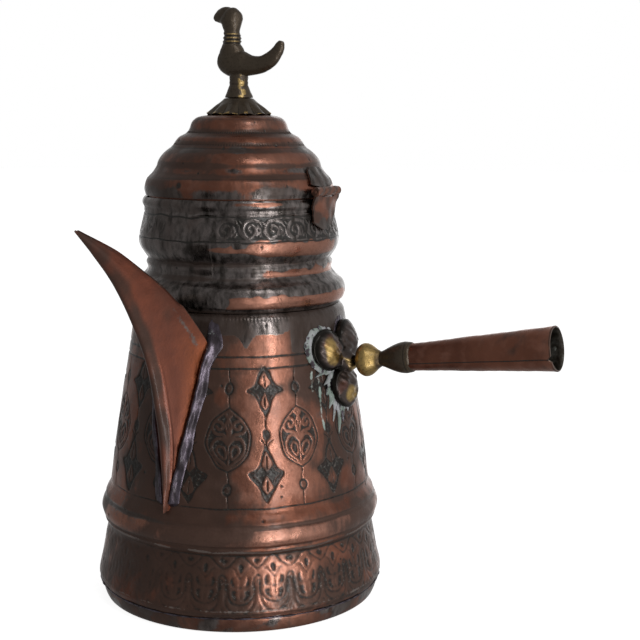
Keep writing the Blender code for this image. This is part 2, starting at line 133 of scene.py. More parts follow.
def cloud(points, size, seed, count=22):
    """Smooth seeded noise, mostly between -1 and 1, with features of the given size in millimetres."""
    rng = np.random.default_rng(seed)
    waves = rng.normal(size=(count, 3))
    lengths = np.linalg.norm(waves, axis=1, keepdims=True)
    waves *= rng.uniform(0.35, 1.15, (count, 1)) * 2 * pi / size / lengths
    return np.cos(points @ waves.T + rng.uniform(0, 2 * pi, count)).sum(-1) / sqrt(count / 2) * 0.6


def wrap(angle):
    """The same direction, from -pi to pi."""
    return (angle + pi) % (2 * pi) - pi


def spread(values, reach):
    """Values averaged over a square of neighbouring cells."""
    for axis in (0, 1):
        values = sum(np.roll(values, shift, axis) for shift in range(-reach, reach + 1)) / (2 * reach + 1)
    return values


def grooves(x, y, strokes):
    """Depth, 0 to 1, of strokes given as (half width, points)."""
    depth = np.zeros_like(x)
    for half, points in strokes:
        for (x0, y0), (x1, y1) in zip(points, points[1:]):
            dx, dy = x1 - x0, y1 - y0
            share = np.clip(((x - x0) * dx + (y - y0) * dy) / max(dx * dx + dy * dy, 1e-9), 0, 1)
            gap = np.hypot(x - x0 - share * dx, y - y0 - share * dy)
            depth = np.maximum(depth, (1 - np.clip(gap / half, 0, 1) ** 2) ** 1.5)
    return depth


def inside(x, y, outline, edge=0.45):
    """0 outside a closed outline, rising to 1 over the edge width inside it."""
    within = np.zeros(x.shape, bool)
    for (x0, y0), (x1, y1) in zip(outline, outline[1:] + outline[:1]):
        if y0 != y1:
            within ^= ((y0 > y) != (y1 > y)) & (x < (x1 - x0) * (y - y0) / (y1 - y0) + x0)
    rim = 1 - grooves(x, y, [(edge, outline + outline[:1])])
    return np.where(within, step(0.0, 1.0, rim), 0.0)


def mirrored(strokes):
    """Strokes with their mirror images."""
    return strokes + [(half, [(-x, y) for x, y in points]) for half, points in strokes]


def smooth(half, points, steps=5):
    return half, [tuple(p) for p in curve(points, steps)]


# ---- mesh building ----

def linked(name, data):
    """A new object in the scene."""
    item = bpy.data.objects.new(name, data)
    bpy.context.scene.collection.objects.link(item)
    return item


def add_piece(name, mesh, body, node, material, sharp=60):
    """Finished piece that rides a body in place of one CAD node."""
    mesh.name = name
    mesh.materials.append(material)
    mesh.shade_smooth()
    mesh.set_sharp_from_angle(angle=radians(sharp))
    item = linked(name, mesh)
    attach(item, body)
    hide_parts(node)
    return item


def mesh_of(bm, name):
    """A new mesh from an edited one, which is freed."""
    mesh = bpy.data.meshes.new(name)
    bm.to_mesh(mesh)
    bm.free()
    return mesh


def around(count):
    """A row of angles, evenly round a turn."""
    return np.linspace(0, 2 * pi, count, endpoint=False)[None, :]


def polar(radius, angle, height):
    """Points of a turned grid."""
    return np.stack([radius * np.cos(angle), radius * np.sin(angle), height + 0 * radius * angle], -1)


def paint(mesh, key, values):
    """Lay one value on each vertex for the materials to read."""
    layer = mesh.attributes.new(key, "FLOAT", "POINT")
    layer.data.foreach_set("value", np.ascontiguousarray(values, np.float32).ravel())


def grid_mesh(points, paints=None, capped=False):
    """Mesh of a grid of points [v, u, 3] in millimetres, closed round u, and round v or by end caps."""
    nv, nu = points.shape[:2]
    row = np.arange(nv - 1 if capped else nv)[:, None]
    column = np.arange(nu)[None, :]
    below, beside = (row + 1) % nv, (column + 1) % nu
    faces = np.stack([row * nu + column, below * nu + column, below * nu + beside, row * nu + beside], -1)
    faces = faces.reshape(-1, 4)
    mesh = bpy.data.meshes.new("grid")
    mesh.vertices.add(nv * nu)
    mesh.vertices.foreach_set("co", (points * MM).astype(np.float32).ravel())
    mesh.loops.add(faces.size)
    mesh.loops.foreach_set("vertex_index", faces.astype(np.int32).ravel())
    mesh.polygons.add(len(faces))
    mesh.polygons.foreach_set("loop_start", np.arange(0, faces.size, 4, dtype=np.int32))
    mesh.update(calc_edges=True)
    for key, values in (paints or {}).items():
        paint(mesh, key, np.broadcast_to(values, (nv, nu)))
    if capped:
        bm = bmesh.new()
        bm.from_mesh(mesh)
        bmesh.ops.remove_doubles(bm, verts=bm.verts, dist=2e-6)
        bmesh.ops.holes_fill(bm, edges=bm.edges, sides=0)
        bmesh.ops.recalc_face_normals(bm, faces=bm.faces)
        bm.to_mesh(mesh)
        bm.free()
    return mesh


def even_spacing(size):
    return lambda height: np.full_like(height, size)


def rows_along(path, spacing):
    """Resample a fine path so that rows lie as far apart as spacing(height) says."""
    lengths = np.hypot(*np.diff(path[:, :2], axis=0).T)
    count = np.concatenate([[0], np.cumsum(lengths / spacing(0.5 * (path[1:, 1] + path[:-1, 1])))])
    at = np.linspace(0, count[-1], int(round(count[-1])) + 1)
    return np.column_stack([np.interp(at, count, path[:, k]) for k in range(path.shape[1])])


def outward(rows):
    """Unit normals, as (radial, upward), of an outer profile that runs from the top down."""
    along = np.gradient(rows, axis=0)
    along /= np.linalg.norm(along, axis=1, keepdims=True)
    return np.column_stack([-along[:, 1], along[:, 0]])


def turned(profile, columns, spacing, relief, sheet=1.0, inner=4.0):
    """Closed turned sheet. relief(angle, height, points) gives the lift and the paints of its outside."""
    path = curve(profile, 24)
    rows = rows_along(path, spacing)
    normal = outward(rows)
    angle = around(columns)
    radius = rows[:, :1] + 0 * angle
    height = rows[:, 1:] + 0 * angle
    lift, paints = relief(angle + 0 * radius, height, polar(radius, angle, height))
    outer = polar(radius + normal[:, :1] * lift, angle, height + normal[:, 1:] * lift)
    back = rows_along(path, even_spacing(inner))
    back = (back - sheet * outward(back))[::-1]
    within = polar(back[:, :1], angle, back[:, 1:])
    hidden = np.zeros(within.shape[:2])
    paints = {key: np.vstack([value, hidden]) for key, value in paints.items()}
    paints["inside"] = np.vstack([0 * lift, hidden + 1])
    return grid_mesh(np.concatenate([outer, within]), paints=paints)


# ---- materials ----

COAT_WEIGHT, COAT_ROUGHNESS = 0.26, 0.15
TIN_DULL, TIN_PALE, TIN_RIM = (0.056, 0.047, 0.041), (0.29, 0.25, 0.238), (0.50, 0.45, 0.40)
INSIDE_DARK, INSIDE_PALE = (0.10, 0.075, 0.055), (0.32, 0.31, 0.28)
PATINA_AND_SHADE, DUST = (0.062, 0.037, 0.027), (0.30, 0.25, 0.225)
SOOT_DARK, SOOT_PALE = (0.010, 0.008, 0.007), (0.034, 0.031, 0.025)
VERDIGRIS_DARK, VERDIGRIS_PALE = (0.30, 0.42, 0.36), (0.62, 0.64, 0.60)


class Nodes:
    """Adds nodes to a tree, taking plain values and other nodes' outputs alike."""

    def __init__(self, tree):
        self.tree = tree

    def new(self, kind):
        return self.tree.nodes.new("ShaderNode" + kind)

    def put(self, socket, value):
        if isinstance(value, bpy.types.NodeSocket):
            self.tree.links.new(value, socket)
        elif isinstance(value, tuple):
            socket.default_value = value + (1.0,) * (4 - len(value))
        else:
            socket.default_value = value

    def maths(self, kind, first, second=0.0, third=0.0):
        node = self.new("Math")
        node.operation = kind
        for socket, value in zip(node.inputs, (first, second, third)):
            self.put(socket, value)
        return node.outputs[0]

    def add(self, first, second):
        return self.maths("ADD", first, second)

    def times(self, first, second):
        return self.maths("MULTIPLY", first, second)

    def ragged(self, value, noise, amount):
        """value made uneven by noise, which as often takes away as adds."""
        return self.add(value, self.maths("MULTIPLY_ADD", noise, amount, -amount / 2))

    def between(self, low, high, value, start=0.0, end=1.0):
        """start below low, end above high, smoothly between."""
        node = self.new("MapRange")
        node.interpolation_type = "SMOOTHSTEP"
        for key, entry in (("Value", value), ("From Min", low), ("From Max", high), ("To Min", start),
                           ("To Max", end)):
            self.put(node.inputs[key], entry)
        return node.outputs["Result"]

    def mix(self, share, first, second):
        node = self.new("Mix")
        node.data_type = "RGBA"
        self.put(node.inputs[0], share)
        self.put(node.inputs[6], first)
        self.put(node.inputs[7], second)
        return node.outputs[2]


class Finish(Nodes):
    """Builds one metal's node tree, whose places are object coordinates in metres."""

    def __init__(self, name):
        self.material = bpy.data.materials.new(name)
        self.material.use_nodes = True
        super().__init__(self.material.node_tree)
        self.shader = self.tree.nodes["Principled BSDF"]
        self.place = self.new("TexCoord").outputs["Object"]

    def paint(self, name):
        node = self.new("Attribute")
        node.attribute_name = name
        return node.outputs["Fac"]

    def noise(self, size, detail=3.0, stretch=(1.0, 1.0, 1.0), seed=0.0):
        """Noise from 0 to 1 with features of about the given size in millimetres."""
        turn = self.new("Mapping")
        self.put(turn.inputs["Vector"], self.place)
        turn.inputs["Scale"].default_value = stretch
        turn.inputs["Location"].default_value = (seed, seed * 0.7, -seed)
        node = self.new("TexNoise")
        self.put(node.inputs["Vector"], turn.outputs["Vector"])
        node.inputs["Scale"].default_value = 1000.0 / size
        node.inputs["Detail"].default_value = detail
        node.inputs["Roughness"].default_value = 0.55
        return node.outputs["Fac"]

    def finish(self, colour, metallic, roughness, height, depth):
        """Set the shader, with a thin clear coat; a height of 1 stands depth millimetres proud."""
        self.put(self.shader.inputs["Base Color"], colour)
        self.put(self.shader.inputs["Metallic"], metallic)
        self.put(self.shader.inputs["Roughness"], roughness)
        self.put(self.shader.inputs["Coat Weight"], COAT_WEIGHT)
        self.put(self.shader.inputs["Coat Roughness"], COAT_ROUGHNESS)
        bump = self.new("Bump")
        bump.inputs["Strength"].default_value = 1.0
        bump.inputs["Distance"].default_value = depth * MM
        self.put(bump.inputs["Height"], height)
        self.put(self.shader.inputs["Normal"], bump.outputs["Normal"])
        return self.material


def copper_finish(name, deep, mid, bright, gloss=0.34, dark_from=0.62, tin_all=0.0, mottle=1.0):
    """Aged copper with tinning, patina and painted shade, polish and painted highlights, and chased recesses
    from the mesh's own paints.
    """
    f = Finish(name)
    broad = f.noise(38.0, 4.0)
    blotch = f.noise(7.0, 5.0, seed=0.3)
    fine = f.noise(1.3, 4.0, seed=0.9)
    runs = f.noise(3.2, 4.0, stretch=(1.0, 1.0, 0.35), seed=0.5)
    colour = f.mix(f.between(0.35, 0.65, broad), deep, mid)
    colour = f.mix(f.times(f.between(0.45, 0.75, blotch), 0.36 * mottle), colour, bright)
    # the "bright" paint lifts the colour towards the bright copper: real polish, and painted highlights where
    # pieces face the key light
    polish_and_highlight = f.times(f.paint("bright"), f.between(0.25, 0.6, fine, 0.55, 1.0))
    colour = f.mix(polish_and_highlight, colour, bright)
    tin = f.add(f.paint("tin"), f.maths("MULTIPLY_ADD", blotch, 0.5, tin_all - 0.25))
    tin = f.between(0.38, 0.62, f.ragged(tin, fine, 0.3))
    tin_colour = f.mix(f.between(0.3, 0.7, runs), TIN_DULL, TIN_PALE)
    colour = f.mix(tin, colour, tin_colour)
    rim = f.times(f.times(tin, f.maths("SUBTRACT", 1.0, tin)), 2.6)
    colour = f.mix(f.times(rim, f.paint("rim")), colour, TIN_RIM)
    inside = f.paint("inside")
    inner = f.mix(f.between(0.35, 0.7, blotch), INSIDE_DARK, INSIDE_PALE)
    colour = f.mix(inside, colour, inner)
    # the "dark" paint darkens towards the patina colour: real patina and grime, and painted shade where the
    # pieces turn from the key light
    dark = f.add(f.paint("dark"), f.maths("MULTIPLY_ADD", runs, 0.55 * mottle, 0.275 * (1 - mottle)))
    dark = f.add(dark, f.maths("MULTIPLY_ADD", blotch, 0.45 * mottle, 0.225 * (1 - mottle)))
    dark = f.between(dark_from, dark_from + 0.42, dark)
    colour = f.mix(f.times(dark, 0.86), colour, PATINA_AND_SHADE)
    recess = f.times(f.between(0.10, 0.62, f.paint("groove")), f.between(0.3, 0.6, fine, 0.76, 1.0))
    soot = f.mix(f.between(0.4, 0.65, fine), SOOT_DARK, SOOT_PALE)
    colour = f.mix(recess, colour, soot)
    dust = f.between(0.45, 0.7, f.ragged(f.paint("dust"), fine, 1.0))
    colour = f.mix(f.times(dust, 0.6), colour, DUST)
    crust = f.ragged(f.paint("crust"), fine, 0.7)
    crust = f.between(0.42, 0.7, crust)
    verdigris = f.mix(f.between(0.35, 0.65, blotch), VERDIGRIS_DARK, VERDIGRIS_PALE)
    colour = f.mix(crust, colour, verdigris)
    shade = f.maths("MAXIMUM", f.times(dark, 0.45), f.times(recess, 0.7))
    metallic = f.maths("SUBTRACT", 1.0, f.maths("MAXIMUM", shade, crust))
    rough = f.add(f.between(0.3, 0.7, blotch, gloss - 0.07, gloss + 0.12), f.times(shade, 0.22))
    rough = f.add(rough, f.times(crust, 0.4))
    rough = f.maths("SUBTRACT", rough, f.times(f.maths("MAXIMUM", polish_and_highlight, tin), 0.08))
    height = f.add(f.times(fine, 0.5), f.times(runs, 0.35))
    height = f.add(height, f.times(blotch, 1.2))
    return f.finish(colour, metallic, rough, height, 0.16)


def brass_finish(name, worn, dull, wear_from=0.5, gloss=0.3):
    """Cast brass, golden where it is worn and where highlights are painted, and nearly black in its hollows.
    """
    f = Finish(name)
    broad = f.noise(11.0, 4.0, seed=0.2)
    fine = f.noise(1.1, 4.0, seed=0.6)
    wear = f.add(f.paint("wear"), f.maths("MULTIPLY_ADD", broad, 0.7, -0.1))
    wear = f.between(wear_from, wear_from + 0.45, wear)
    colour = f.mix(wear, dull, worn)
    colour = f.mix(f.times(f.between(0.5, 0.72, fine), 0.5), colour, (0.035, 0.026, 0.014))
    colour = f.mix(f.paint("rust"), colour, (0.17, 0.045, 0.025))
    colour = f.mix(f.between(0.2, 0.8, f.paint("groove")), colour, (0.012, 0.009, 0.006))
    rough = f.between(0.3, 0.7, broad, gloss, gloss + 0.16)
    height = f.add(f.times(fine, 0.6), broad)
    return f.finish(colour, f.between(0.0, 0.5, wear, 0.75, 1.0), rough, height, 0.2)


def solder_finish(name, low, high, gloss):
    """Soft solder, smeared and tarnished blue-grey, with verdigris where the mesh says."""
    f = Finish(name)
    lump = f.noise(3.6, 4.0, stretch=(1.0, 1.0, 0.4), seed=0.4)
    fine = f.noise(0.8, 3.0, seed=0.8)
    colour = f.mix(f.between(0.35, 0.62, lump), low, high)
    colour = f.mix(f.times(f.between(0.52, 0.7, fine), 0.6), colour, (0.03, 0.026, 0.024))
    crust = f.ragged(f.paint("crust"), fine, 0.8)
    crust = f.between(0.35, 0.6, crust)
    chalk = f.mix(f.between(0.36, 0.62, lump), (0.30, 0.37, 0.32), (0.56, 0.56, 0.58))
    colour = f.mix(crust, colour, chalk)
    metallic = f.maths("SUBTRACT", 1.0, crust)
    rough = f.add(f.between(0.3, 0.7, lump, gloss + 0.16, gloss - 0.04), f.times(crust, 0.4))
    height = f.add(f.times(fine, 0.4), lump)
    return f.finish(colour, metallic, rough, height, 0.12)


# ---- chased ornament ----
FIELD_COUNT, FIELD_START = 11, radians(-31.2)
BAND_COUNT, BAND_START = 27, radians(-45.4)
VINE_COUNT, VINE_START = 26, radians(-38.9)


def closed(points, steps):
    """Smooth closed outline through the given points."""
    return [tuple(p) for p in curve(points + points[:1], steps)[:-1]]


def both_sides(points):
    """Outline made of a right half and its mirror image."""
    points = [tuple(p) for p in points]
    return points + [(-x, y) for x, y in points[::-1]]


def petal(middle, low, high, half):
    """Leaf outline from low to high, and the slit down its middle."""
    rise = high - low
    outline = [(middle, low), (middle + half, low + 0.3 * rise), (middle + 0.75 * half, low + 0.62 * rise),
               (middle, high), (middle - 0.75 * half, low + 0.62 * rise), (middle - half, low + 0.3 * rise)]
    return closed(outline, 5), (0.32, [(middle, low + 0.14 * rise), (middle, low + 0.72 * rise)])


def pendant(x, z):
    """Winged palmettes above and below a bead."""
    upper = curve([(0, 124.6), (2.4, 122.0), (3.6, 118.6), (5.2, 115.6), (8.9, 113.4), (5.3, 111.9),
                   (3.4, 109.2), (2.0, 105.0), (0, 101.6)], 4)
    lower = curve([(0, 88.0), (2.0, 84.0), (3.4, 80.0), (5.2, 77.2), (8.8, 75.4), (5.7, 71.5), (3.4, 67.8),
                   (1.8, 64.4), (0, 62.0)], 4)
    depth = np.zeros_like(x)
    for half in (upper, lower):
        outline = both_sides(half)
        depth = np.maximum(depth, 0.85 * inside(x, z, outline))
        depth = np.maximum(depth, grooves(x, z, [(0.45, outline + outline[:1])]))
    veins = [[(3.2, 116.8), (4.4, 114.6), (7.2, 113.5)], [(3.0, 109.8), (4.2, 111.8), (6.0, 112.9)],
             [(3.1, 78.6), (4.5, 76.5), (7.0, 75.5)], [(2.9, 70.0), (4.2, 72.8), (6.0, 74.6)]]
    veins = [(0.42, vein) for vein in veins]
    depth = depth * (1 - 0.45 * step(0.05, 0.6, grooves(x, z, mirrored(veins))))
    for low, high, width in ((113.9, 123.0, 3.2), (104.0, 113.2, 2.5), (75.8, 86.2, 3.0), (65.2, 75.0, 3.2)):
        outline, slit = petal(0, low, high, width)
        raised = inside(x, z, outline, 0.5)
        depth = np.where(raised > 0, depth * (1 - raised), depth)
        depth = np.maximum(depth, grooves(x, z, [slit, (0.36, outline + outline[:1])]))
    bead = np.hypot(x / 2.2, (z - 93.2) / 3.0)
    depth = np.maximum(depth, 0.7 * fade(0.75, 1.1, bead))
    stem = [(0.42, [(0, 102.5), (0, 96.0)]), (0.42, [(0, 90.6), (0, 86.0)])]
    flare = [smooth(0.34, [(2.8, 90.6), (1.2, 89.2), (0.5, 86.6)])]
    return np.maximum(depth, grooves(x, z, stem + mirrored(flare)))


def medallion(x, z):
    """Pointed oval full of scrolls, hung between two drops."""
    z = z - 91.7
    side = [(0, 14.8), (3.4, 12.4), (7.8, 8.2), (10.6, 1.4), (9.6, -5.6), (5.2, -11.6), (0, -14.6)]
    scroll = [
        smooth(0.5, side),
        smooth(0.5, [(0.92 * a, 0.93 * b) for a, b in side]),
        smooth(1.0, [(0.5, -1.6), (2.4, 2.2), (6.4, 3.2), (7.8, 6.0), (5.8, 8.8), (3.2, 8.2), (2.6, 6.0),
                             (4.4, 4.9), (5.4, 6.4)]),
        smooth(1.0, [(0.4, -1.8), (2.6, 0.6), (5.8, 0.3), (7.7, -3.2), (6.0, -7.4), (2.8, -10.4),
                     (0.3, -12.6)]),
        smooth(0.8, [(2.0, -3.2), (4.2, -2.6), (5.2, -4.8), (3.6, -7.4), (1.7, -8.6), (1.3, -5.4),
                     (2.0, -3.2)]),
        smooth(0.8, [(0, 10.0), (1.5, 11.6), (0.6, 13.6)]),
        smooth(0.7, [(0.3, 9.6), (1.4, 6.8), (0.9, 3.4), (0.2, 1.0)]),
    ]
    outline = both_sides(curve(side, 4))
    raised = grooves(x, z, mirrored(scroll[1:]) + [(0.6, [(0, 13.6), (0, -13.0)])])
    depth = 0.8 * inside(x, z, outline, 0.8) * fade(0.05, 0.55, raised)
    depth = np.maximum(depth, grooves(x, z, mirrored(scroll[:1])))
    drops = np.zeros_like(x)
    for middle in (23.6, -22.9):
        ring = np.hypot(x / 2.0, (z - middle) / 2.6)
        drops = np.maximum(drops, fade(0.0, 0.42, abs(ring - 0.9)) * (ring > 0.4))
        drops = np.maximum(drops, 0.35 * (ring < 0.9))
    lines = [(0.36, [(0, 33.0), (0, 26.2)]), (0.36, [(0, 21.2), (0, 14.6)]), (0.36, [(0, -14.4), (0, -20.4)]),
             (0.36, [(0, -25.4), (0, -32.0)])]
    return np.maximum(depth, np.maximum(drops, grooves(x, z, lines)))


def cartouche(x, z):
    """One repeat of the foot's band: an ogee arch over a cup, between looped legs."""
    strokes = [
        smooth(0.55, [(0, 37.4), (2.2, 36.2), (4.4, 33.8), (6.2, 32.2), (8.3, 31.4)]),
        smooth(0.62, [(8.3, 28.6), (6.9, 27.8), (6.2, 25.4), (6.1, 22.0), (5.5, 18.6), (3.6, 16.2),
                      (0, 15.2)]),
        smooth(0.5, [(8.3, 26.4), (7.5, 25.4), (7.3, 22.0), (7.0, 18.4), (6.2, 15.2), (4.6, 13.2),
                     (2.8, 12.4)]),
        smooth(0.42, [(0.2, 27.0), (1.8, 29.0), (3.2, 31.2), (4.6, 31.6)]),
        smooth(0.38, [(0.3, 22.8), (1.6, 23.4), (3.0, 22.8)]),
        smooth(0.42, [(0.4, 13.2), (2.4, 11.6), (5.0, 12.0), (6.4, 11.0)]),
        smooth(0.36, [(8.3, 14.0), (7.6, 11.8), (8.3, 10.6)]),
    ]
    depth = grooves(x, z, mirrored(strokes) + [(0.3, [(0, 27.6), (0, 16.8)])])
    recesses = [
        [(2.6, 28.4), (4.6, 27.6), (4.9, 24.8), (3.6, 22.8), (2.3, 24.2), (3.0, 26.2)],
        [(1.6, 21.6), (4.4, 22.0), (4.5, 19.0), (2.8, 16.9), (1.1, 17.4), (2.2, 19.4)],
        [(5.2, 35.6), (8.3, 36.4), (8.3, 33.4), (6.6, 33.8)],
    ]
    for outline in recesses:
        outline = closed(outline, 4)
        for flipped in (outline, [(-a, b) for a, b in outline]):
            depth = np.maximum(depth, 0.75 * inside(x, z, flipped, 0.5))
    drop = closed([(0, 28.2), (1.3, 31.0), (1.2, 33.0), (0, 33.9), (-1.2, 33.0), (-1.3, 31.0)], 4)
    return np.maximum(depth, inside(x, z, drop, 0.4))


def vine(x, z):
    """One repeat of the neck's running scroll."""
    strokes = [
        smooth(0.8, [(-5.9, 190.9), (-4.9, 188.2), (-3.3, 186.0), (-1.0, 185.2), (1.0, 185.9)]),
        smooth(0.95, [(-2.2, 185.4), (-3.6, 188.0), (-3.3, 190.9), (-1.4, 192.9), (1.6, 193.4), (4.4, 192.7),
                             (5.9, 190.9)]),
        smooth(0.8, [(1.7, 186.8), (2.5, 189.0), (1.2, 190.9), (-0.8, 190.6), (-1.4, 188.9), (-0.1, 188.0)]),
        smooth(0.7, [(2.9, 186.6), (4.5, 188.2), (3.6, 190.4), (2.9, 188.6), (2.9, 186.6)]),
        smooth(0.6, [(4.6, 186.2), (5.6, 187.4)]),
        smooth(0.6, [(-5.2, 193.2), (-4.2, 192.0)]),
    ]
    ground = window(z, 184.0, 184.8, 193.8, 194.5)
    return 0.75 * ground * fade(0.05, 0.5, grooves(x, z, strokes))


def stamp(depth, angle, height, radius, motif, count, start, half, low, high, seed):
    """Cut a motif round the pot, each repeat a little off as handwork is."""
    rng = np.random.default_rng(seed)
    middle = (low + high) / 2
    rows = np.flatnonzero((height[:, 0] > low) & (height[:, 0] < high))
    for turn in range(count):
        shift = rng.normal(size=4) * (0.004, 0.35, 0.025, 0.018)
        centre = start + turn * 2 * pi / count + shift[0]
        across = wrap(angle[0] - centre) * radius[rows].mean()
        columns = np.flatnonzero(abs(across) < half)
        cell = np.ix_(rows, columns)
        x = wrap(angle[cell] - centre) * radius[cell]
        z = height[cell] + 0.6 * shift[1]
        wobble = 0.22 * np.sin(z * 0.55 + 9 * shift[1]) + 0.16 * np.sin(x * 0.8 + 40 * shift[2])
        above = z - middle
        x = x * (1 + shift[2]) + shift[3] * above + wobble
        z = middle + above * (1 + shift[3]) + 0.5 * wobble
        depth[cell] = np.maximum(depth[cell], motif(x, z))


def engraved_line(height, at, half=0.4, wave=0.0):
    """1 along a rounded line at a height, falling to 0 at half its width."""
    return (1 - np.clip(abs(height - at - wave) / half, 0, 1) ** 2) ** 1.5


def spots(angle, height, radius, places):
    """1 at small pits given as (angle in degrees, height, size)."""
    depth = np.zeros_like(height)
    for turn, z, size in places:
        gap = np.hypot(wrap(angle - radians(turn)) * radius, height - z)
        depth = np.maximum(depth, np.clip(1 - gap / size, 0, 1))
    return depth


def scattered(seed, count, low, high, least, most):
    """Places for spots() between two heights."""
    rng = np.random.default_rng(seed)
    return [(rng.uniform(-180, 180), rng.uniform(low, high), rng.uniform(least, most)) for _ in range(count)]


def facing(angle, middle, half, soft=6.0):
    """1 within half a width, in degrees, of a direction round the pot."""
    return fade(half - soft, half + soft, abs(np.degrees(wrap(angle - radians(middle)))))


# ---- reliefs of the turned sheets ----

# rules round a sheet, as (height, half width)
BODY_RULES = [(130.2, 0.75), (124.8, 0.65), (59.5, 0.5), (37.4, 0.45), (9.8, 0.4)]
LID_RULES = [(240.6, 0.45), (226.6, 0.45), (218.4, 0.45), (212.6, 0.45)]
LID_GRIME = [(234.0, 2.6), (228.6, 1.8), (225.6, 1.6), (218.6, 1.8), (213.4, 2.0)]
# verdigris drips below the spout, as (degrees round, low, high, half width)
DRIPS_BELOW = [(-21.5, 104, 122, 1.3), (-17.5, 84, 116, 1.2)]
# heights of the foot band's top, of the waist above it and of the shoulder
FOOT_TOP, WAIST, SHOULDER = 37, 60, 146
BEAD, CREASE_ABOVE, CREASE_BELOW = 46.4, 51.2, 41.4
SPOUT_SIDE = -pi / 2


def body_relief(angle, height, points):
    """Chased fields and foot band, dents, tinning, grime, drips, painted shade and painted highlights of the
    body.
    """
    radius = np.hypot(points[..., 0], points[..., 1])
    cut = np.zeros_like(height)
    stamp(cut, angle, height, radius, pendant, FIELD_COUNT, FIELD_START - pi / FIELD_COUNT, 10.5, 61, 125.5,
          3)
    stamp(cut, angle, height, radius, medallion, FIELD_COUNT, FIELD_START, 12.0, 59, 125.5, 4)
    stamp(cut, angle, height, radius, cartouche, BAND_COUNT, BAND_START, 8.4, 10.2, 38, 5)
    wave = 0.25 * np.sin(3 * angle + 1) + 0.12 * np.sin(17 * angle)
    for at, half in BODY_RULES:
        cut = np.maximum(cut, engraved_line(height, at, half, wave))
    worn = 0.45 + 0.55 * facing(angle, -30, 52, 26)
    cut = cut * np.where(height < WAIST, worn, 1.0)
    cut = np.where(height < FOOT_TOP, spread(cut, 1), cut) * (0.88 + 0.16 * cloud(points, 1.7, 19))
    grime = spread(cut, 5)
    crease = engraved_line(height, CREASE_ABOVE, 1.5, wave) + 0.7 * engraved_line(height, CREASE_BELOW, 1.2,
                                                                                  wave)
    pits = [(-41, 69.3, 0.8), (-41.2, 64.2, 0.8)] + scattered(6, 40, 12, SHOULDER, 0.5, 1.1)
    pits = spots(angle, height, radius, pits)
    ticks = (np.sin(angle * 190) > 0.2) * engraved_line(height, 147.4, 0.5) * facing(angle, -42, 26)
    dents = 0.13 * cloud(points, 26, 11) + 0.06 * cloud(points, 9, 12)
    lift = dents - 0.42 * cut * (1 - 0.25 * cloud(points, 5, 13)) - 0.5 * pits + 0.2 * ticks - 0.75 * crease
    lift = lift + 0.35 * engraved_line(height, BEAD, 3.4)
    turn = np.degrees(wrap(angle))
    scallop = 139.6 - 4.6 * hump(turn, -55.5, 2.4) + 0.9 * np.sin(angle * 21) + step(-48, -33, turn) * 1.6
    patch = facing(angle, -2, 30, 1.0) * step(129.5, 131.5, height + 0.8 * np.sin(angle * 60))
    tin = np.maximum(step(-0.35, 0.35, height - scallop), patch)
    tin = np.maximum(tin, facing(angle, 0, 24, 5) * step(88, 112, height + 9 * cloud(points, 9, 15)) * 0.45)
    away = 1 - facing(angle, -20, 66, 24)
    tin = np.maximum(tin, 0.42 * away + 0.3 * crease * (height > 45))
    front = facing(angle, -45, 52, 20)
    # painted shade: darker on the side turned away from the key light; the clouds are patina
    dark = 0.12 + 0.13 * away + 0.2 * cloud(points, 30, 16) + 0.13 * cloud(points, 11, 17)
    # painted shade: darker below the waist and on the front, all but the strip that faces the key light; the
    # grime is dirt round the chasing
    dark += (0.14 + 0.16 * front) * fade(50, 62, height) * (1 - facing(angle, -38, 17, 13)) + 0.7 * grime
    dark += 0.27 * front * step(56, 60, height) * (1 - facing(angle, -38, 14, 12))
    dark += 0.34 * facing(angle, 0, 31, 4) * step(88, 112, height)
    dark += 0.35 * crease + 0.4 * fade(0, 2.0, abs(height - 38.0))
    # darker on the wall beside the spout: partly solder staining, partly painted shadow of the spout
    beside = abs(np.degrees(wrap(angle - SPOUT_SIDE))) - np.interp(height, [58, 75, 110, 140],
                                                                   [14, 17, 21, 24])
    dark += 0.45 * fade(-5, 11, beside + 6 * cloud(points, 14, 18)) * step(50, 55, height)
    # painted highlights: strips facing the key light on the field and the foot band, and on the bead, which
    # is also polished
    bright = facing(angle, -40, 20, 14) * step(60, 66, height) * 0.35
    bead = window(height, 41, 43.5, 50, 53)
    bright = np.maximum(bright, bead * (0.45 + 0.5 * facing(angle, -45, 45, 25)))
    bright = np.maximum(bright, facing(angle, -45, 14, 9) * fade(36, 39, height) * 0.6)
    crust = np.zeros_like(cut)
    for place, low, high, width in DRIPS_BELOW:
        gap = abs(turn - place + 0.5 * np.sin(height * 0.31 + place)) * radius * pi / 180
        drip = window(height, low, low + 12, high, high + 4)
        crust = np.maximum(crust, (0.62 + 0.25 * cloud(points, 4, 10)) * drip * hump(gap, 0, width))
    dust = 1.15 * fade(0.2, 1.3, abs(height - 39.6 - 2 * wave)) + 0.8 * fade(0.2, 0.9, abs(height - 11.6))
    dust = dust * (0.75 + 0.35 * cloud(points, 13, 14))
    dust = np.maximum(dust, 0.41 * step(0.06, 0.3, grime) - 0.1 * away)
    paints = {"groove": np.maximum(cut, pits), "tin": tin, "dark": dark, "bright": bright, "crust": crust,
              "dust": dust, "rim": step(126, 130, height)}
    return lift, paints


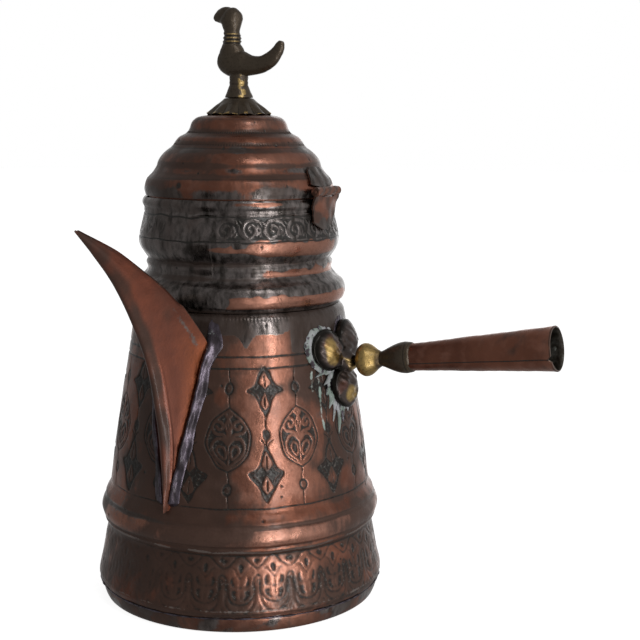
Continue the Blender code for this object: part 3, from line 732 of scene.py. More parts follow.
def collar_relief(angle, height, points):
    """Running scroll, seam, patchy tinning, painted shade and painted highlights of the neck."""
    radius = np.hypot(points[..., 0], points[..., 1])
    cut = np.zeros_like(height)
    stamp(cut, angle, height, radius, vine, VINE_COUNT, VINE_START, 6.0, 183.6, 195.0, 8)
    wave = 0.35 * np.sin(9 * angle) + 0.25 * np.sin(23 * angle + 2)
    cut = cut * (0.3 + 0.7 * facing(angle, -22, 48, 18))
    border = engraved_line(height, 196.0, 0.7, wave) * facing(angle, -50, 50, 14)
    cut = np.maximum(cut, 0.8 * engraved_line(height, 194.8, 0.6, wave))
    cut = np.maximum(cut, engraved_line(height, 183.4, 0.5, 0.6 * wave))
    pits = spots(angle, height, radius, scattered(9, 26, 152, 200, 0.5, 1.2))
    seam_at = wrap(angle - radians(-75.0)) * radius
    seam = fade(0, 0.8, abs(seam_at)) * (0.06 + 0.3 * step(0.2, 0.9, cloud(points * (0, 0, 1), 22, 26)))
    dents = 0.14 * cloud(points, 18, 21) + 0.06 * cloud(points, 6, 22)
    ridge = 0.22 * fade(0, 0.9, abs(height - 152.8))
    lift = dents - 0.38 * cut - 0.4 * pits + seam + ridge + 0.4 * border
    turn = np.degrees(wrap(angle))
    ragged = 1.4 * cloud(points, 6, 23)
    copper = facing(angle, -32, 42, 8) * step(175.5, 177.5, height - 2.0 * fade(-60, -40, turn))
    copper = copper * fade(-0.8, 0.8, height + ragged - 180.6 - 2.6 * step(-72, -44, turn))
    foot = step(151.6, 153, height) * fade(156.8, 158.6, height + 0.6 * ragged)
    copper = np.maximum(copper, facing(angle + 0.1 * ragged, -20, 44, 12) * foot)
    shoulder = step(166, 167, height) * fade(168.6, 170, height + 0.5 * ragged)
    copper = np.maximum(copper, facing(angle, -8, 32, 9) * shoulder)
    # painted highlight: a narrow band of the lip facing the key light, shown as bright copper
    lip = window(height, 199.4, 200.4, 201.4, 202.4)
    copper = np.maximum(copper, 0.55 * facing(angle, -44, 14, 10) * lip)
    tin = 0.78 + 0.2 * cloud(points, 12, 24) - 1.2 * copper
    # painted shade: darker on the side turned away from the key light
    dark = 0.26 * (1 - facing(angle, -20, 50, 30)) + 0.12 * cloud(points, 16, 25)
    dark += 0.4 * fade(0, 2.4, abs(height - 172.4)) + 0.35 * fade(0, 1.6, abs(height - 165.4))
    dark += 0.5 * fade(150, 152, height) - 0.3 * copper - 0.4 * border
    return lift, {"groove": np.maximum(cut, pits), "tin": tin, "dark": dark, "bright": 0.75 * copper}


def lid_relief(angle, height, points):
    """Ticked rules, dents, patina, painted shade and painted highlights of the lid."""
    radius = np.hypot(points[..., 0], points[..., 1])
    ticks = np.sin(angle * 150) * 0.5 + 0.5
    cut = ticks * engraved_line(height, 234.2, 0.7) + 0.7 * ticks * engraved_line(height, 228.4, 0.6)
    for at, half in LID_RULES:
        cut = np.maximum(cut, 0.5 * engraved_line(height, at, half))
    pits = spots(angle, height, radius, [(-96.5, 209.4, 2.6)] + scattered(31, 26, 208, 240, 0.5, 1.0))
    dents = 0.12 * cloud(points, 20, 32) + 0.05 * cloud(points, 7, 33)
    lift = dents - 0.26 * cut - 0.4 * pits
    tin = 0.1 + 0.25 * cloud(points, 14, 34) + 0.6 * fade(205.5, 211, height)
    tin += 0.35 * engraved_line(height, 226.0, 2.4) + 0.4 * engraved_line(height, 216.4, 2.4)
    # painted shade: darker on the side turned away from the key light
    dark = 0.24 + 0.2 * (1 - facing(angle, -30, 64, 30)) + 0.14 * cloud(points, 16, 35)
    for at, half in LID_GRIME:
        dark += 0.36 * engraved_line(height, at, half)
    dark += 0.5 * step(242.4, 243.2, height)
    # painted highlight: the two crowns are made bright where they face the key light
    crowns = engraved_line(height, 239, 4) + engraved_line(height, 222, 3)
    bright = 0.5 * facing(angle, -38, 22, 14) * crowns
    return lift, {"groove": np.maximum(cut, pits), "tin": tin, "dark": dark, "bright": bright}


def pan_relief(angle, height, points):
    rim = 0.1 * cloud(points, 14, 41) * step(0.6, 3.0, height)
    # painted light: lighter and brighter on the side facing the key light
    dark = 0.42 + 0.2 * cloud(points, 12, 42) - 0.25 * facing(angle, -48, 26, 14)
    tin = 0.35 + 0.3 * cloud(points, 9, 43)
    return rim, {"tin": tin, "dark": dark, "bright": 0.3 * facing(angle, -48, 20, 12)}


def sleeve_relief(angle, height, points):
    return 0.05 * cloud(points, 12, 101), {"dark": 0.1 + 0.2 * cloud(points, 14, 102)}


def band_spacing(band, fine, coarse):
    """Row spacing that is fine within the band's heights and coarse elsewhere."""
    low, high = band
    return lambda height: np.where((height > low) & (height < high), fine, coarse)


# ---- pot sheets ----

def wall_radius(height):
    """Radius of the body's wall."""
    return np.interp(height, [z for _, z in WALL[::-1]], [r for r, _ in WALL[::-1]])


def on_wall(arc, height, lift, start=0.0):
    """Points lifted off the body's wall, at an arc length from the direction start."""
    radius = wall_radius(height)
    angle = start + arc / radius
    return polar(radius + lift, angle, height)


# rows of the strainer's holes, as (height, holes)
STRAINER_ROWS = [(78.0, 1), (88.0, 2), (98.0, 3), (108.0, 4), (118.0, 3)]
HOLE_PITCH, HOLE_RADIUS, DRILL_LENGTH = 6.4, 1.8, 8.0


def cut_strainer(body):
    """Drill the strainer's holes through the wall behind the spout."""
    bm = bmesh.new()
    for height, count in STRAINER_ROWS:
        for place in range(count):
            offset = (place - (count - 1) / 2) * HOLE_PITCH
            reach = sqrt(float(wall_radius(height)) ** 2 - offset ** 2)
            turn = Matrix.Translation((offset, -reach, height)) @ Matrix.Rotation(pi / 2, 4, "X")
            bmesh.ops.create_cone(bm, cap_ends=True, segments=24, radius1=HOLE_RADIUS, radius2=HOLE_RADIUS,
                                  depth=DRILL_LENGTH, matrix=turn)
    bmesh.ops.scale(bm, vec=(MM, MM, MM), verts=bm.verts)
    apply_boolean(body, linked("strainer_drill", mesh_of(bm, "strainer_drill")), "DIFFERENCE")


def apply_boolean(item, other, operation):
    """Apply a Boolean to item's mesh and remove the other object."""
    change = item.modifiers.new("boolean", "BOOLEAN")
    change.operation = operation
    change.solver = "MANIFOLD"
    change.object = other
    apply_modifiers(item)
    bpy.data.objects.remove(other, do_unlink=True)


def apply_modifiers(item):
    bpy.context.view_layer.update()
    shaped = bpy.data.meshes.new_from_object(item.evaluated_get(bpy.context.evaluated_depsgraph_get()))
    item.modifiers.clear()
    item.data = shaped


CHASED_BODY, CHASED_NECK, CHASED_LID = (9.5, 131), (183, 197), (227.5, 235)


def make_pot(copper, tinned):
    """Body with its strainer, neck collar and base pan."""
    fine = band_spacing(CHASED_BODY, 0.5, 1.0)
    body = add_piece("body_sheet", turned(BODY, 900, fine, relief=body_relief, inner=6.0),
                     "pot", "body_shell", copper)
    cut_strainer(body)
    neck = band_spacing(CHASED_NECK, 0.42, 0.8)
    add_piece("collar_sheet", turned(COLLAR, 720, neck, relief=collar_relief, inner=3.0),
              "pot", "neck_collar", tinned)
    pan = turned(BASE_PAN, 360, even_spacing(1.0), sheet=1.2, relief=pan_relief)
    add_piece("base_sheet", pan, "pot", "base_pan", tinned)


SEAM_RADIUS, SEAM_HEIGHT, SEAM_SIZE = 72.45, 7.8, 0.42


def make_base_solder(material):
    """Lumpy bead where the base pan meets the body."""
    along = around(720)
    round_bead = around(10).T
    lump = polar(72.0, along, 0.0)
    bead = SEAM_SIZE * (0.85 + 0.5 * np.clip(cloud(lump, 7, 51), -0.6, 1))
    radius = SEAM_RADIUS + bead * np.sin(round_bead)
    height = SEAM_HEIGHT + 0.12 * np.sin(5 * along) + bead * np.cos(round_bead)
    add_piece("base_seam", grid_mesh(polar(radius, along, height)), "pot", "base_solder", material)


# ---- spout ----

def make_spout(material):
    """Folded sheet beak, open along its top, with a ridge beside the fold."""
    steps, columns = 14, 60
    keel, edge = curve(KEEL, steps), curve(EDGE, steps)
    share = np.linspace(0, 1, len(keel))
    cheek_to_cheek = np.linspace(-1, 1, 2 * columns + 1)
    across = np.concatenate([cheek_to_cheek, cheek_to_cheek[::-1]])[:, None]
    depth = np.repeat([0.0, 1.0], 2 * columns + 1)[:, None]
    blunt = 0.16
    rounded = (np.sqrt(across ** 2 + blunt ** 2) - blunt) / (sqrt(1 + blunt ** 2) - blunt)
    chord = np.hypot(edge[:, 1] - keel[:, 0], edge[:, 2] - keel[:, 1])[None, :]
    rise = rounded + depth * (1 - rounded) * np.minimum(1.6 / chord, 0.5)
    half = edge[None, :, 0] - depth * np.minimum(1.0, 0.5 * edge[None, :, 0])
    reach = keel[None, :, 0] + rise * (edge[None, :, 1] - keel[None, :, 0])
    height = keel[None, :, 1] + rise * (edge[None, :, 2] - keel[None, :, 1])
    from_keel = rounded * chord
    ridge = hump(from_keel, 2.6 + 4.0 * share, 0.6) * window(share, 0.06, 0.2, 0.4, 0.6)
    cheek = half * across
    sunk = 0.5 * window(rounded, 0.2, 0.5, 0.75, 1.0) * step(0.1, 0.4, share)
    cheek = cheek + np.sign(across) * (0.3 * ridge - sunk) * (1 - depth)
    notch = 0.9 * window(share, 0.70, 0.712, 0.80, 0.9) * step(0.9, 1.0, rounded) * (across > 0)
    reach, height = reach + 0.7 * notch, height - notch
    points = np.stack([cheek + 0 * reach, -reach, height], -1)
    dents = 0.12 * cloud(points, 20, 61) + 0.05 * cloud(points, 7, 62)
    points[..., 0] += np.sign(across) * dents * (1 - depth) * step(0.02, 0.15, rounded)
    scuff = cloud(points * (1.0, 1.0, 0.45), 8, 63)
    # painted light: the lower cheek, which faces the key light, is made bright
    bright = step(0.35, 1.0, rounded) * fade(0.42, 0.7, share) * 0.95 * (1 - depth)
    # painted shade: the band along the fold is darker, and the ridge beside it lighter as a painted highlight
    fold = fade(1.4 + 2.0 * share, 3.9 + 5.4 * share, from_keel)
    rim = step(0.985, 1.0, rounded)
    dark = 0.5 * fold * (1 - 0.4 * step(0.35, 0.8, share)) - 0.3 * ridge
    dark = dark + 0.45 * rim * (1 - bright) + 0.22 * step(0.3, 0.8, share) + 0.14 * scuff
    worn = hump(rounded, 0.8, 0.08) * hump(share, 0.62, 0.09)
    worn = worn + 0.8 * hump(rounded, 0.86, 0.1) * hump(share, 0.9, 0.03)
    outer = 1 - depth
    paints = {"tin": (0.5 * worn + 0.14 * scuff + 0.06) * outer, "dark": dark * outer, "bright": bright,
              "dust": (0.62 * worn + 0.12 * scuff) * outer, "inside": depth + 0 * dark}
    paints = {key: value.T for key, value in paints.items()}
    mesh = grid_mesh(points.transpose(1, 0, 2), paints=paints, capped=True)
    return add_piece("spout_sheet", mesh, "pot", "spout_beak", material)


CLEARANCE = 0.03  # keeps a run of solder just off the wall


def joint_half_width(height):
    """Half width of the spout where it meets the wall, at a height."""
    keel, edge = curve(KEEL, 30), curve(EDGE, 30)
    share = np.linspace(0, 1, 60)[:, None]
    z = keel[:, 1] + share * (edge[:, 2] - keel[:, 1])
    across = edge[:, 0] * share
    radius = np.hypot(keel[:, 0] + share * (edge[:, 1] - keel[:, 0]), across)
    miss = abs(z - height) + abs(radius - wall_radius(height))
    return across.ravel()[miss.argmin()]


def make_fillet(name, side, node, material):
    """Lumpy run of solder in the corner between the spout's cheek and the wall."""
    heights = np.linspace(58.8, 147.2, 206)
    stations = np.linspace(61, 134, 24)
    joints = np.interp(heights, stations, [joint_half_width(z) for z in stations])
    section = np.array([(-0.2, 0.1), (1.2, 0.05), (3.0, 0.05), (5.0, 0.05), (6.6, 0.05), (6.9, 0.2),
                        (6.4, 0.55), (5.4, 0.8), (4.4, 1.1), (3.4, 1.5), (2.6, 2.0), (2.0, 2.5), (1.3, 2.9),
                        (0.5, 3.0), (-0.2, 2.6), (-0.6, 1.6)])
    away, lift = section[:, :1], section[:, 1:]
    wide = 0.66 + 0.42 * step(122, 140, heights) + 0.07 * np.sin(heights * 0.23 + side)
    ends = np.clip(np.minimum((heights - 58.2) / 2.5, (148.4 - heights) / 13), 0.1, 1)
    thick = (0.95 - 0.35 * step(126, 140, heights)) * ends
    arc = joints + away * wide * (0.4 + 0.6 * ends)
    heights = heights + 0 * away
    points = on_wall(side * arc, heights, lift * thick + CLEARANCE, SPOUT_SIDE)
    lump = 0.22 * cloud(points * (1, 1, 0.4), 6, 71 + side) + 0.07 * cloud(points, 2.4, 74 + side)
    lump = np.clip(lump, -0.4, 0.5)
    arc = arc + 0.8 * lump * step(2.5, 5.0, away)
    points = on_wall(side * arc, heights, (lift * (1 + 0.8 * lump)) * thick + CLEARANCE, SPOUT_SIDE)
    crust = np.clip(0.15 + 0.3 * cloud(points, 6, 77), 0, 1) * step(128, 140, heights)
    points, crust = points.transpose(1, 0, 2)[:, ::-1], crust.T[:, ::-1]
    mesh = grid_mesh(points, paints={"crust": crust}, capped=True)
    add_piece(name, mesh, "pot", node, material, sharp=80)


# ---- handle ----
LOBES = [radians(48), radians(147), radians(268)]
# worn places and painted highlights on the escutcheon: across, up, half width, half height and strength
WEAR_AND_HIGHLIGHTS = [(-13.0, 5.6, 2.9, 5.8, 0.95), (-2.6, -15.6, 3.4, 4.4, 0.95), (0.5, -1.5, 2.4, 3.4, 0.5),
          (-4.5, 3.5, 2.4, 2.2, 0.35)]
# runs of solder past the escutcheon: degrees round it, half width in degrees and length
DRIPS = [(196, 1.6, 4.5), (214, 1.5, 3.5), (226, 3.0, 3.0), (238, 1.8, 3.5), (247, 1.5, 7.0),
         (256, 1.8, 11.0), (263, 1.4, 5.0), (276, 2.0, 2.5)]
HANDLE_TURN = Matrix.Translation((HANDLE_X, 0, HANDLE_Z)) @ Matrix.Rotation(pi / 2 - HANDLE_RISE, 4, "Y")


def placed(points, turn):
    """Points in millimetres moved by a 4x4 matrix."""
    turn = np.array(turn)
    return points @ turn[:3, :3].T + turn[:3, 3]


def trefoil_reach(angle, margin):
    """Distance from the trefoil's centre to its outline, grown by a margin."""
    reach = np.full_like(angle, 6.5 + margin)
    for lobe in LOBES:
        aside, ahead, radius = 12.5 * np.sin(angle - lobe), 12.5 * np.cos(angle - lobe), 10.0 + margin
        hit = (abs(aside) < radius) & (ahead > 0)
        far = ahead + np.sqrt(np.clip(radius ** 2 - aside ** 2, 0, None))
        reach = np.where(hit, np.maximum(reach, far), reach)
    return reach


def wall_pad(margin, low, top, spokes, rings, spikes=None):
    """Closed pad on the wall. top(across, up, share) gives its lift and its paints."""
    angle = around(spokes)
    share = np.concatenate([np.linspace(0.004, 1, rings), np.linspace(1, 0.004, rings)])[:, None]
    reach = trefoil_reach(angle, margin)
    if spikes:
        reach = reach + spikes(angle)
    across, up = reach * share * np.cos(angle), reach * share * np.sin(angle)
    lift, paints = top(across, up, share)
    under = (np.arange(2 * rings) >= rings)[:, None]
    points = on_wall(across, HANDLE_Z + up, np.where(under, low, lift))
    return grid_mesh(points, paints=paints, capped=True)


def make_escutcheon(brass, solder):
    """Three-lobed shield on its pad of solder."""
    def lobes(across, up, share):
        middle = np.hypot(across, up)
        parts = [8.2 * np.exp(-(middle / 5.6) ** 4)]
        nearest = middle / 6.5
        for lobe, tall, size in zip(LOBES, (5.6, 5.8, 5.2), (10.6, 9.6, 10.6)):
            away = np.hypot(across - 12.2 * cos(lobe), up - 12.2 * sin(lobe)) / size
            parts.append(tall * np.sqrt(np.clip(1 - away ** 2, 0, 1)))
            nearest = np.minimum(nearest, away)
        height = 0.9 * np.log(np.exp(np.array(parts) / 0.9).sum(0))
        points = np.stack([across, up, 0 * height], -1)
        rough = 0.55 * cloud(points, 6.5, 81) + 0.3 * cloud(points, 2.6, 80)
        height = height + rough * (1 - share ** 8)
        crease = step(0.66, 0.98, nearest)
        wear = 0.3 * step(-0.2, 0.6, cloud(points, 9, 82)) + 0.2 * step(4.5, 6.5, height) - 0.5 * crease
        for x, z, wide, tall, strength in WEAR_AND_HIGHLIGHTS:
            wear = wear + strength * hump(across, x, wide) * hump(up, z, tall)
        rust = 0.7 * hump(across, -7, 3) * hump(up, 8, 3) + 0.4 * step(0.4, 0.9, cloud(points, 7, 83))
        paints = {"wear": wear, "rust": np.clip(rust, 0, 0.8), "groove": 0.8 * crease}
        return 1.7 + np.maximum(height, 0), paints

    def crust_edge(angle):
        turn = np.degrees(angle) % 360
        ring = polar(30.0, angle, 0.0)
        length = 0.8 * cloud(ring, 9, 84) + 0.5 * cloud(ring, 3, 85)
        length = length + 1.5 * window(turn, 112, 140, 262, 280)
        for middle, width, size in DRIPS:
            length = length + size * hump(turn, middle, width)
        return length

    def crust(across, up, share):
        angle = np.degrees(np.arctan2(up, across)) % 360
        points = np.stack([across, up, 0 * across], -1)
        lump = cloud(points, 3.2, 86) + 0.6 * cloud(points, 1.6, 87)
        rim = step(0.5, 0.62, share) * window(angle, 98, 112, 276, 290)
        lift = 0.35 + 0.6 * (1 - share ** 6) + 0.45 * rim * (1 - share ** 10) * (1 + 0.5 * lump)
        paint = rim * (0.66 + 0.34 * lump)
        return np.maximum(lift, 0.34), {"crust": np.clip(paint, 0, 1)}

    pad = wall_pad(1.2, 0.1, crust, 540, 26, crust_edge)
    add_piece("crust_pad", pad, "pot", "escutcheon_solder", solder, sharp=80)
    shield = wall_pad(0.0, 1.3, lobes, 240, 60)
    add_piece("trefoil", shield, "pot", "escutcheon", brass, sharp=80)


def round_piece(outline, sides):
    """Grid of points turned about +Z from an outline of (radius, height)."""
    rows = np.asarray(outline, float)
    return polar(rows[:, :1], around(sides), rows[:, 1:])


def lathe(outline, spacing=0.5):
    """Rows of a smooth outline, closed at the axis at both ends."""
    path = curve(outline, 16)
    rows = rows_along(path, even_spacing(spacing))
    return np.vstack([(0.0005, rows[0, 1]), rows, (0.0005, rows[-1, 1])])


def make_handle(brass, dark_brass, copper):
    """Knop against the wall, ferrule and socket, turned about the handle's axis."""
    knop = lathe([(3.6, 20.4), (4.2, 19.4), (5.0, 18.0), (6.4, 16.2), (7.6, 14.4), (8.15, 12.6), (7.9, 11.0),
                  (6.6, 9.3), (4.2, 8.8), (3.0, 8.4), (2.6, 6.0), (2.6, 3.4)])
    points = round_piece(knop, 96)
    along = points[..., 2]
    paints = {"wear": 0.55 + 0.3 * step(9.0, 11.0, along) - 0.5 * step(16.5, 19.5, along),
              "groove": fade(8.2, 9.6, along)}
    mesh = grid_mesh(placed(points, HANDLE_TURN), paints=paints, capped=True)
    add_piece("knop", mesh, "pot", "handle_knop", brass, sharp=50)
    ferrule = lathe([(5.6, 38.4), (6.5, 37.6), (7.2, 36.7), (7.45, 35.2), (7.65, 33.4), (7.3, 30.6),
                     (6.4, 27.6), (5.2, 24.6), (4.3, 22.6), (3.9, 21.4), (3.7, 20.8)])
    points = round_piece(ferrule, 96)
    along = points[..., 2]
    paints = {"wear": 0.12 + 0.5 * fade(0.0, 0.45, abs(along - 36.2)),
              "groove": 0.8 * fade(0.0, 0.4, abs(along - 35.2))}
    mesh = grid_mesh(placed(points, HANDLE_TURN), paints=paints, capped=True)
    add_piece("ferrule", mesh, "pot", "handle_ferrule", dark_brass, sharp=50)
    make_tube(copper)


TUBE_START, TUBE_END, TUBE_SHEET = 36.9, 108.6, 0.9
TUBE_NARROW, TUBE_FLARE = 6.5, 3.85
LAP_AT = radians(-68)


def make_tube(copper):
    """Tapered socket, lapped along its underside and open at its far end."""
    angle = around(200)
    along = np.concatenate([np.linspace(TUBE_START, 107.6, 110), [108.1, 108.45, TUBE_END, 108.5],
                            np.linspace(108.2, TUBE_START, 40)])[:, None]
    outer = (np.arange(len(along)) < 112)[:, None]
    radius = TUBE_NARROW + (along - 37.0) / 71.6 * TUBE_FLARE
    lip = 0.16 * step(106.8, 108.2, along) - 0.3 * step(108.3, 108.6, along)
    radius = np.where(outer, radius + lip, radius - TUBE_SHEET + 0.3 * step(107.9, 108.5, along))
    seam = np.degrees(wrap(angle - LAP_AT))
    lap = 0.42 * step(-1.2, 1.2, seam) * fade(1.2, 46, seam) * outer
    points = polar(radius, angle, along)
    radius = radius + lap + outer * (0.1 * cloud(points, 13, 91) + 0.04 * cloud(points, 4, 92))
    notch = 1.6 * np.clip(1 - abs(seam + 2) / 9, 0, 1) * step(104.0, 108.0, along)
    points = polar(radius, angle, along - notch)
    lap_line = fade(0.6, 2.2, abs(seam + 1.4))
    within = 1.0 - outer
    mottle = cloud(points, 6, 93)
    paints = {"groove": 0.7 * lap_line * outer, "tin": 0.12 * outer,
              "bright": 0.25 * outer * step(101, 107, along),
              "dark": outer * (0.12 + 0.14 * mottle + 0.4 * step(107.6, 108.3, along)),
              "crust": within * (0.1 + 0.3 * mottle), "inside": within}
    mesh = grid_mesh(placed(points, HANDLE_TURN), paints=paints)
    mesh.flip_normals()
    add_piece("tube", mesh, "pot", "handle_tube", copper, sharp=40)


# ---- hinge ----

def plate(stations, sheet, seed, solder, lean=0.0):
    """Bent hinge plate from (radius, height, half width, roundness), with a hand-cut edge.

    solder(front) gives the tin on its outer face.
    """
    rows = curve(stations, 10)
    across = np.linspace(-1, 1, 41)[None, :]
    radius, height, half, roundness = (rows[:, k:k + 1] for k in range(4))
    edge = 0.16 * np.sin(height * 1.7 + seed) + 0.1 * np.sin(height * 4.1)
    arc = across * (half + edge) - lean * fade(rows[0, 1], rows[0, 1] + 10, height)
    layers = []
    for inward in (0.0, sheet):
        r = radius - inward
        x = r + roundness * (r * np.cos(arc / radius) - r)
        y = arc + roundness * (r * np.sin(arc / radius) - arc)
        layers.append(np.stack([x, y + 0 * x, height + 0 * x], -1))
    front, back = layers
    bend = 0.22 * cloud(front, 7, seed)
    front = front + bend[..., None] * (1, 0, 0.1)
    points = np.concatenate([front, back[:, ::-1]], 1)
    edges = np.concatenate([step(0.82, 1.0, abs(across)), 0 * across], 1) + 0 * points[..., 0]
    tin = np.concatenate([solder(front) + 0 * bend, 0 * bend], 1)
    dark = 0.34 + 0.35 * edges + 0.16 * cloud(points, 6, seed + 1)
    paints = {"groove": 0.5 * step(0.9, 1.0, edges), "tin": tin, "dark": dark, "bright": 0.15}
    return grid_mesh(points, paints=paints, capped=True)


STRAP_KNUCKLES, LEAF_KNUCKLE = ((5.8, 10.6), (-12.0, -5.8)), (-5.5, 5.5)
SLOT_SIZE, SLOT_CENTRE = Vector((8.0, 12.2, 8.0)), Vector((HINGE_X, 0, 207.6))
HINGE_SHEET, HINGE_SHARP = 1.0, 45


def knuckle(start, end):
    """Tube round the hinge's axis between two places along Y."""
    rows = [(2.3, start + 0.15), (2.3, end - 0.15), (2.15, end), (1.2, end), (1.1, end - 0.1),
            (1.1, start + 0.1), (1.2, start), (2.15, start)]
    angle = around(48)
    fine = []
    for (r0, y0), (r1, y1) in zip(rows, rows[1:] + rows[:1]):
        count = 12 if abs(y1 - y0) > 3 else 1
        fine += [(r0 + (r1 - r0) * k / count, y0 + (y1 - y0) * k / count) for k in range(count)]
    fine = np.array(fine)
    radius, along = fine[:, :1] + 0 * angle, fine[:, 1:] + 0 * angle
    radius = radius + 0.07 * np.sin(3 * angle + along) * (radius > 2)
    points = np.stack([HINGE_X + radius * np.sin(angle), along, HINGE_Z + radius * np.cos(angle)], -1)
    mesh = grid_mesh(points, paints={"dark": 0.36 + 0.14 * np.sin(2 * angle + along), "bright": 0.2})
    bm = bmesh.new()
    bm.from_mesh(mesh)
    bmesh.ops.recalc_face_normals(bm, faces=bm.faces)
    bm.to_mesh(mesh)
    bm.free()
    return linked("knuckle", mesh)


def make_hinge(copper, tinned, iron):
    """Strap on the collar and leaf on the lid, each with its knuckles, and the pin through them."""
    def blob(front):
        low = hump(front[..., 1], -4.5, 2.4) * hump(front[..., 2], 190.5, 2.2)
        return 1.2 * low + 0.62 * fade(191, 198, front[..., 2] + 2 * cloud(front, 5, 6))

    strap_rows = [(50.9, 188.2, 2.4, 1.0), (50.6, 189.6, 5.4, 1.0), (50.0, 192.0, 9.0, 1.0),
                  (49.8, 197.0, 11.2, 1.0), (49.9, 200.4, 11.9, 0.8), (50.2, 203.0, 11.9, 0.2),
                  (50.4, 204.8, 11.9, 0.0)]
    strap = plate(strap_rows, HINGE_SHEET, 3, blob, 3.0)
    strap = add_piece("strap", strap, "pot", "hinge_strap", copper, HINGE_SHARP)
    bm = bmesh.new()
    bmesh.ops.create_cube(bm, size=1.0)
    bmesh.ops.scale(bm, vec=SLOT_SIZE * MM, verts=bm.verts)
    bmesh.ops.translate(bm, vec=SLOT_CENTRE * MM, verts=bm.verts)
    apply_boolean(strap, linked("strap_slot", mesh_of(bm, "strap_slot")), "DIFFERENCE")
    for start, end in STRAP_KNUCKLES:
        apply_boolean(strap, knuckle(start, end), "UNION")
    leaf_rows = [(48.9, 207.3, 5.4, 0.0), (48.7, 208.8, 5.4, 0.3), (48.3, 209.8, 10.5, 1.0),
                 (47.3, 212.2, 10.0, 1.0), (44.7, 215.1, 8.0, 1.0), (42.7, 217.9, 5.0, 1.0)]
    leaf = plate(leaf_rows, HINGE_SHEET, 5, lambda front: 0.95)
    leaf = add_piece("leaf", leaf, "lid", "lid_leaf", tinned, HINGE_SHARP)
    apply_boolean(leaf, knuckle(*LEAF_KNUCKLE), "UNION")
    for item in (strap, leaf):
        item.data.shade_smooth()
        item.data.set_sharp_from_angle(angle=radians(HINGE_SHARP))
    end = [(0.001, 12.9), (0.6, 12.88), (0.95, 12.6), (1.0, 12.2)]
    shaft = [(1.0, y) for y in np.linspace(11.8, -11.8, 24)]
    points = round_piece(end + shaft + [(radius, -y) for radius, y in end[::-1]], 32)
    points = placed(points, Matrix.Translation((HINGE_X, 0, HINGE_Z)) @ Matrix.Rotation(-pi / 2, 4, "X"))
    mesh = grid_mesh(points, paints={"wear": 0.2, "rust": 0.5}, capped=True)
    add_piece("pin", mesh, "pot", "hinge_pin", iron, 40)


# ---- lid and finial ----
NECK_X, NECK_RINGS = -3.8, (282.2, 280.4, 278.6)

def make_lid(copper, tinned, brass):
    """Dome, the flange that plugs the neck, and the finial's washer."""
    dome = turned(LID, 640, band_spacing(CHASED_LID, 0.45, 0.8), relief=lid_relief, inner=3.0)
    add_piece("dome", dome, "lid", "lid_dome", copper)
    flange = [(45.0, 208.4), (45.0, 203.0), (44.9, 197.6), (44.6, 197.0)]
    sleeve = turned(flange, 240, even_spacing(1.0), sheet=0.7, relief=sleeve_relief)
    add_piece("sleeve", sleeve, "lid", "lid_flange", tinned)
    ring = [(2.8, 241.8), (3.0, 241.9), (6.2, 241.9), (6.5, 241.7), (6.5, 240.9), (6.3, 240.7), (3.0, 240.7),
            (2.8, 240.8)]
    mesh = grid_mesh(round_piece(ring, 48), paints={"wear": 0.4})
    add_piece("washer", mesh, "lid", "finial_washer", brass, 40)


def make_skirt(material):
    """Fluted skirt under the bird, scalloped at its rim."""
    top = curve([(4.7, 251.0), (7.0, 250.9), (8.4, 249.8), (10.6, 247.9), (13.0, 245.8), (15.2, 243.9),
                 (16.5, 242.9), (16.3, 242.6)], 8)
    under = np.array([(15.4, 242.7), (10.0, 243.2), (3.0, 243.5), (3.0, 247.4), (4.7, 247.4)])
    rows = np.vstack([top, under])
    angle = around(480)
    radius, height = rows[:, :1] + 0 * angle, rows[:, 1:] + 0 * angle
    flute = -(np.cos(12 * angle) + 1) / 2
    strength = step(6.0, 15.0, radius)
    crest = abs(np.sin(6 * angle)) ** 0.6
    radius = radius * (1 + 0.05 * flute * step(9.0, 14.0, radius))
    upper = (np.arange(len(rows)) < len(top))[:, None]
    height = height + 0.75 * crest * strength * step(8.0, 12.0, radius)
    points = polar(radius, angle, height)
    points[..., 2] += 0.08 * cloud(points, 4, 111) * upper
    edge = step(14.9, 15.9, radius) * upper
    wear = 0.05 + 0.6 * edge * step(-0.3, 0.4, cloud(points, 3, 112))
    # crests lighter all round: wear, and a painted highlight along the crests
    wear = wear + 0.2 * upper * step(0.85, 1.0, crest) * strength
    valley = upper * fade(0.0, 0.3, abs(np.sin(6 * angle))) * strength * 0.6
    mesh = grid_mesh(points, paints={"wear": wear, "groove": valley})
    add_piece("skirt", mesh, "lid", "finial_skirt", material, 70)


def limb(stations, sides=28):
    """Closed tapering limb in the XZ plane from (x, z, half thickness in the plane, across it)."""
    path = curve(stations, 7)
    heading = np.gradient(path[:, :2], axis=0)
    heading /= np.linalg.norm(heading, axis=1, keepdims=True)
    angle = around(sides)
    thick, wide = np.maximum(path[:, 2:3], 0.25), np.maximum(path[:, 3:4], 0.25)
    x = path[:, :1] + heading[:, 1:] * thick * np.cos(angle)
    z = path[:, 1:2] - heading[:, :1] * thick * np.cos(angle)
    return grid_mesh(np.stack([x, wide * np.sin(angle), z], -1), capped=True)


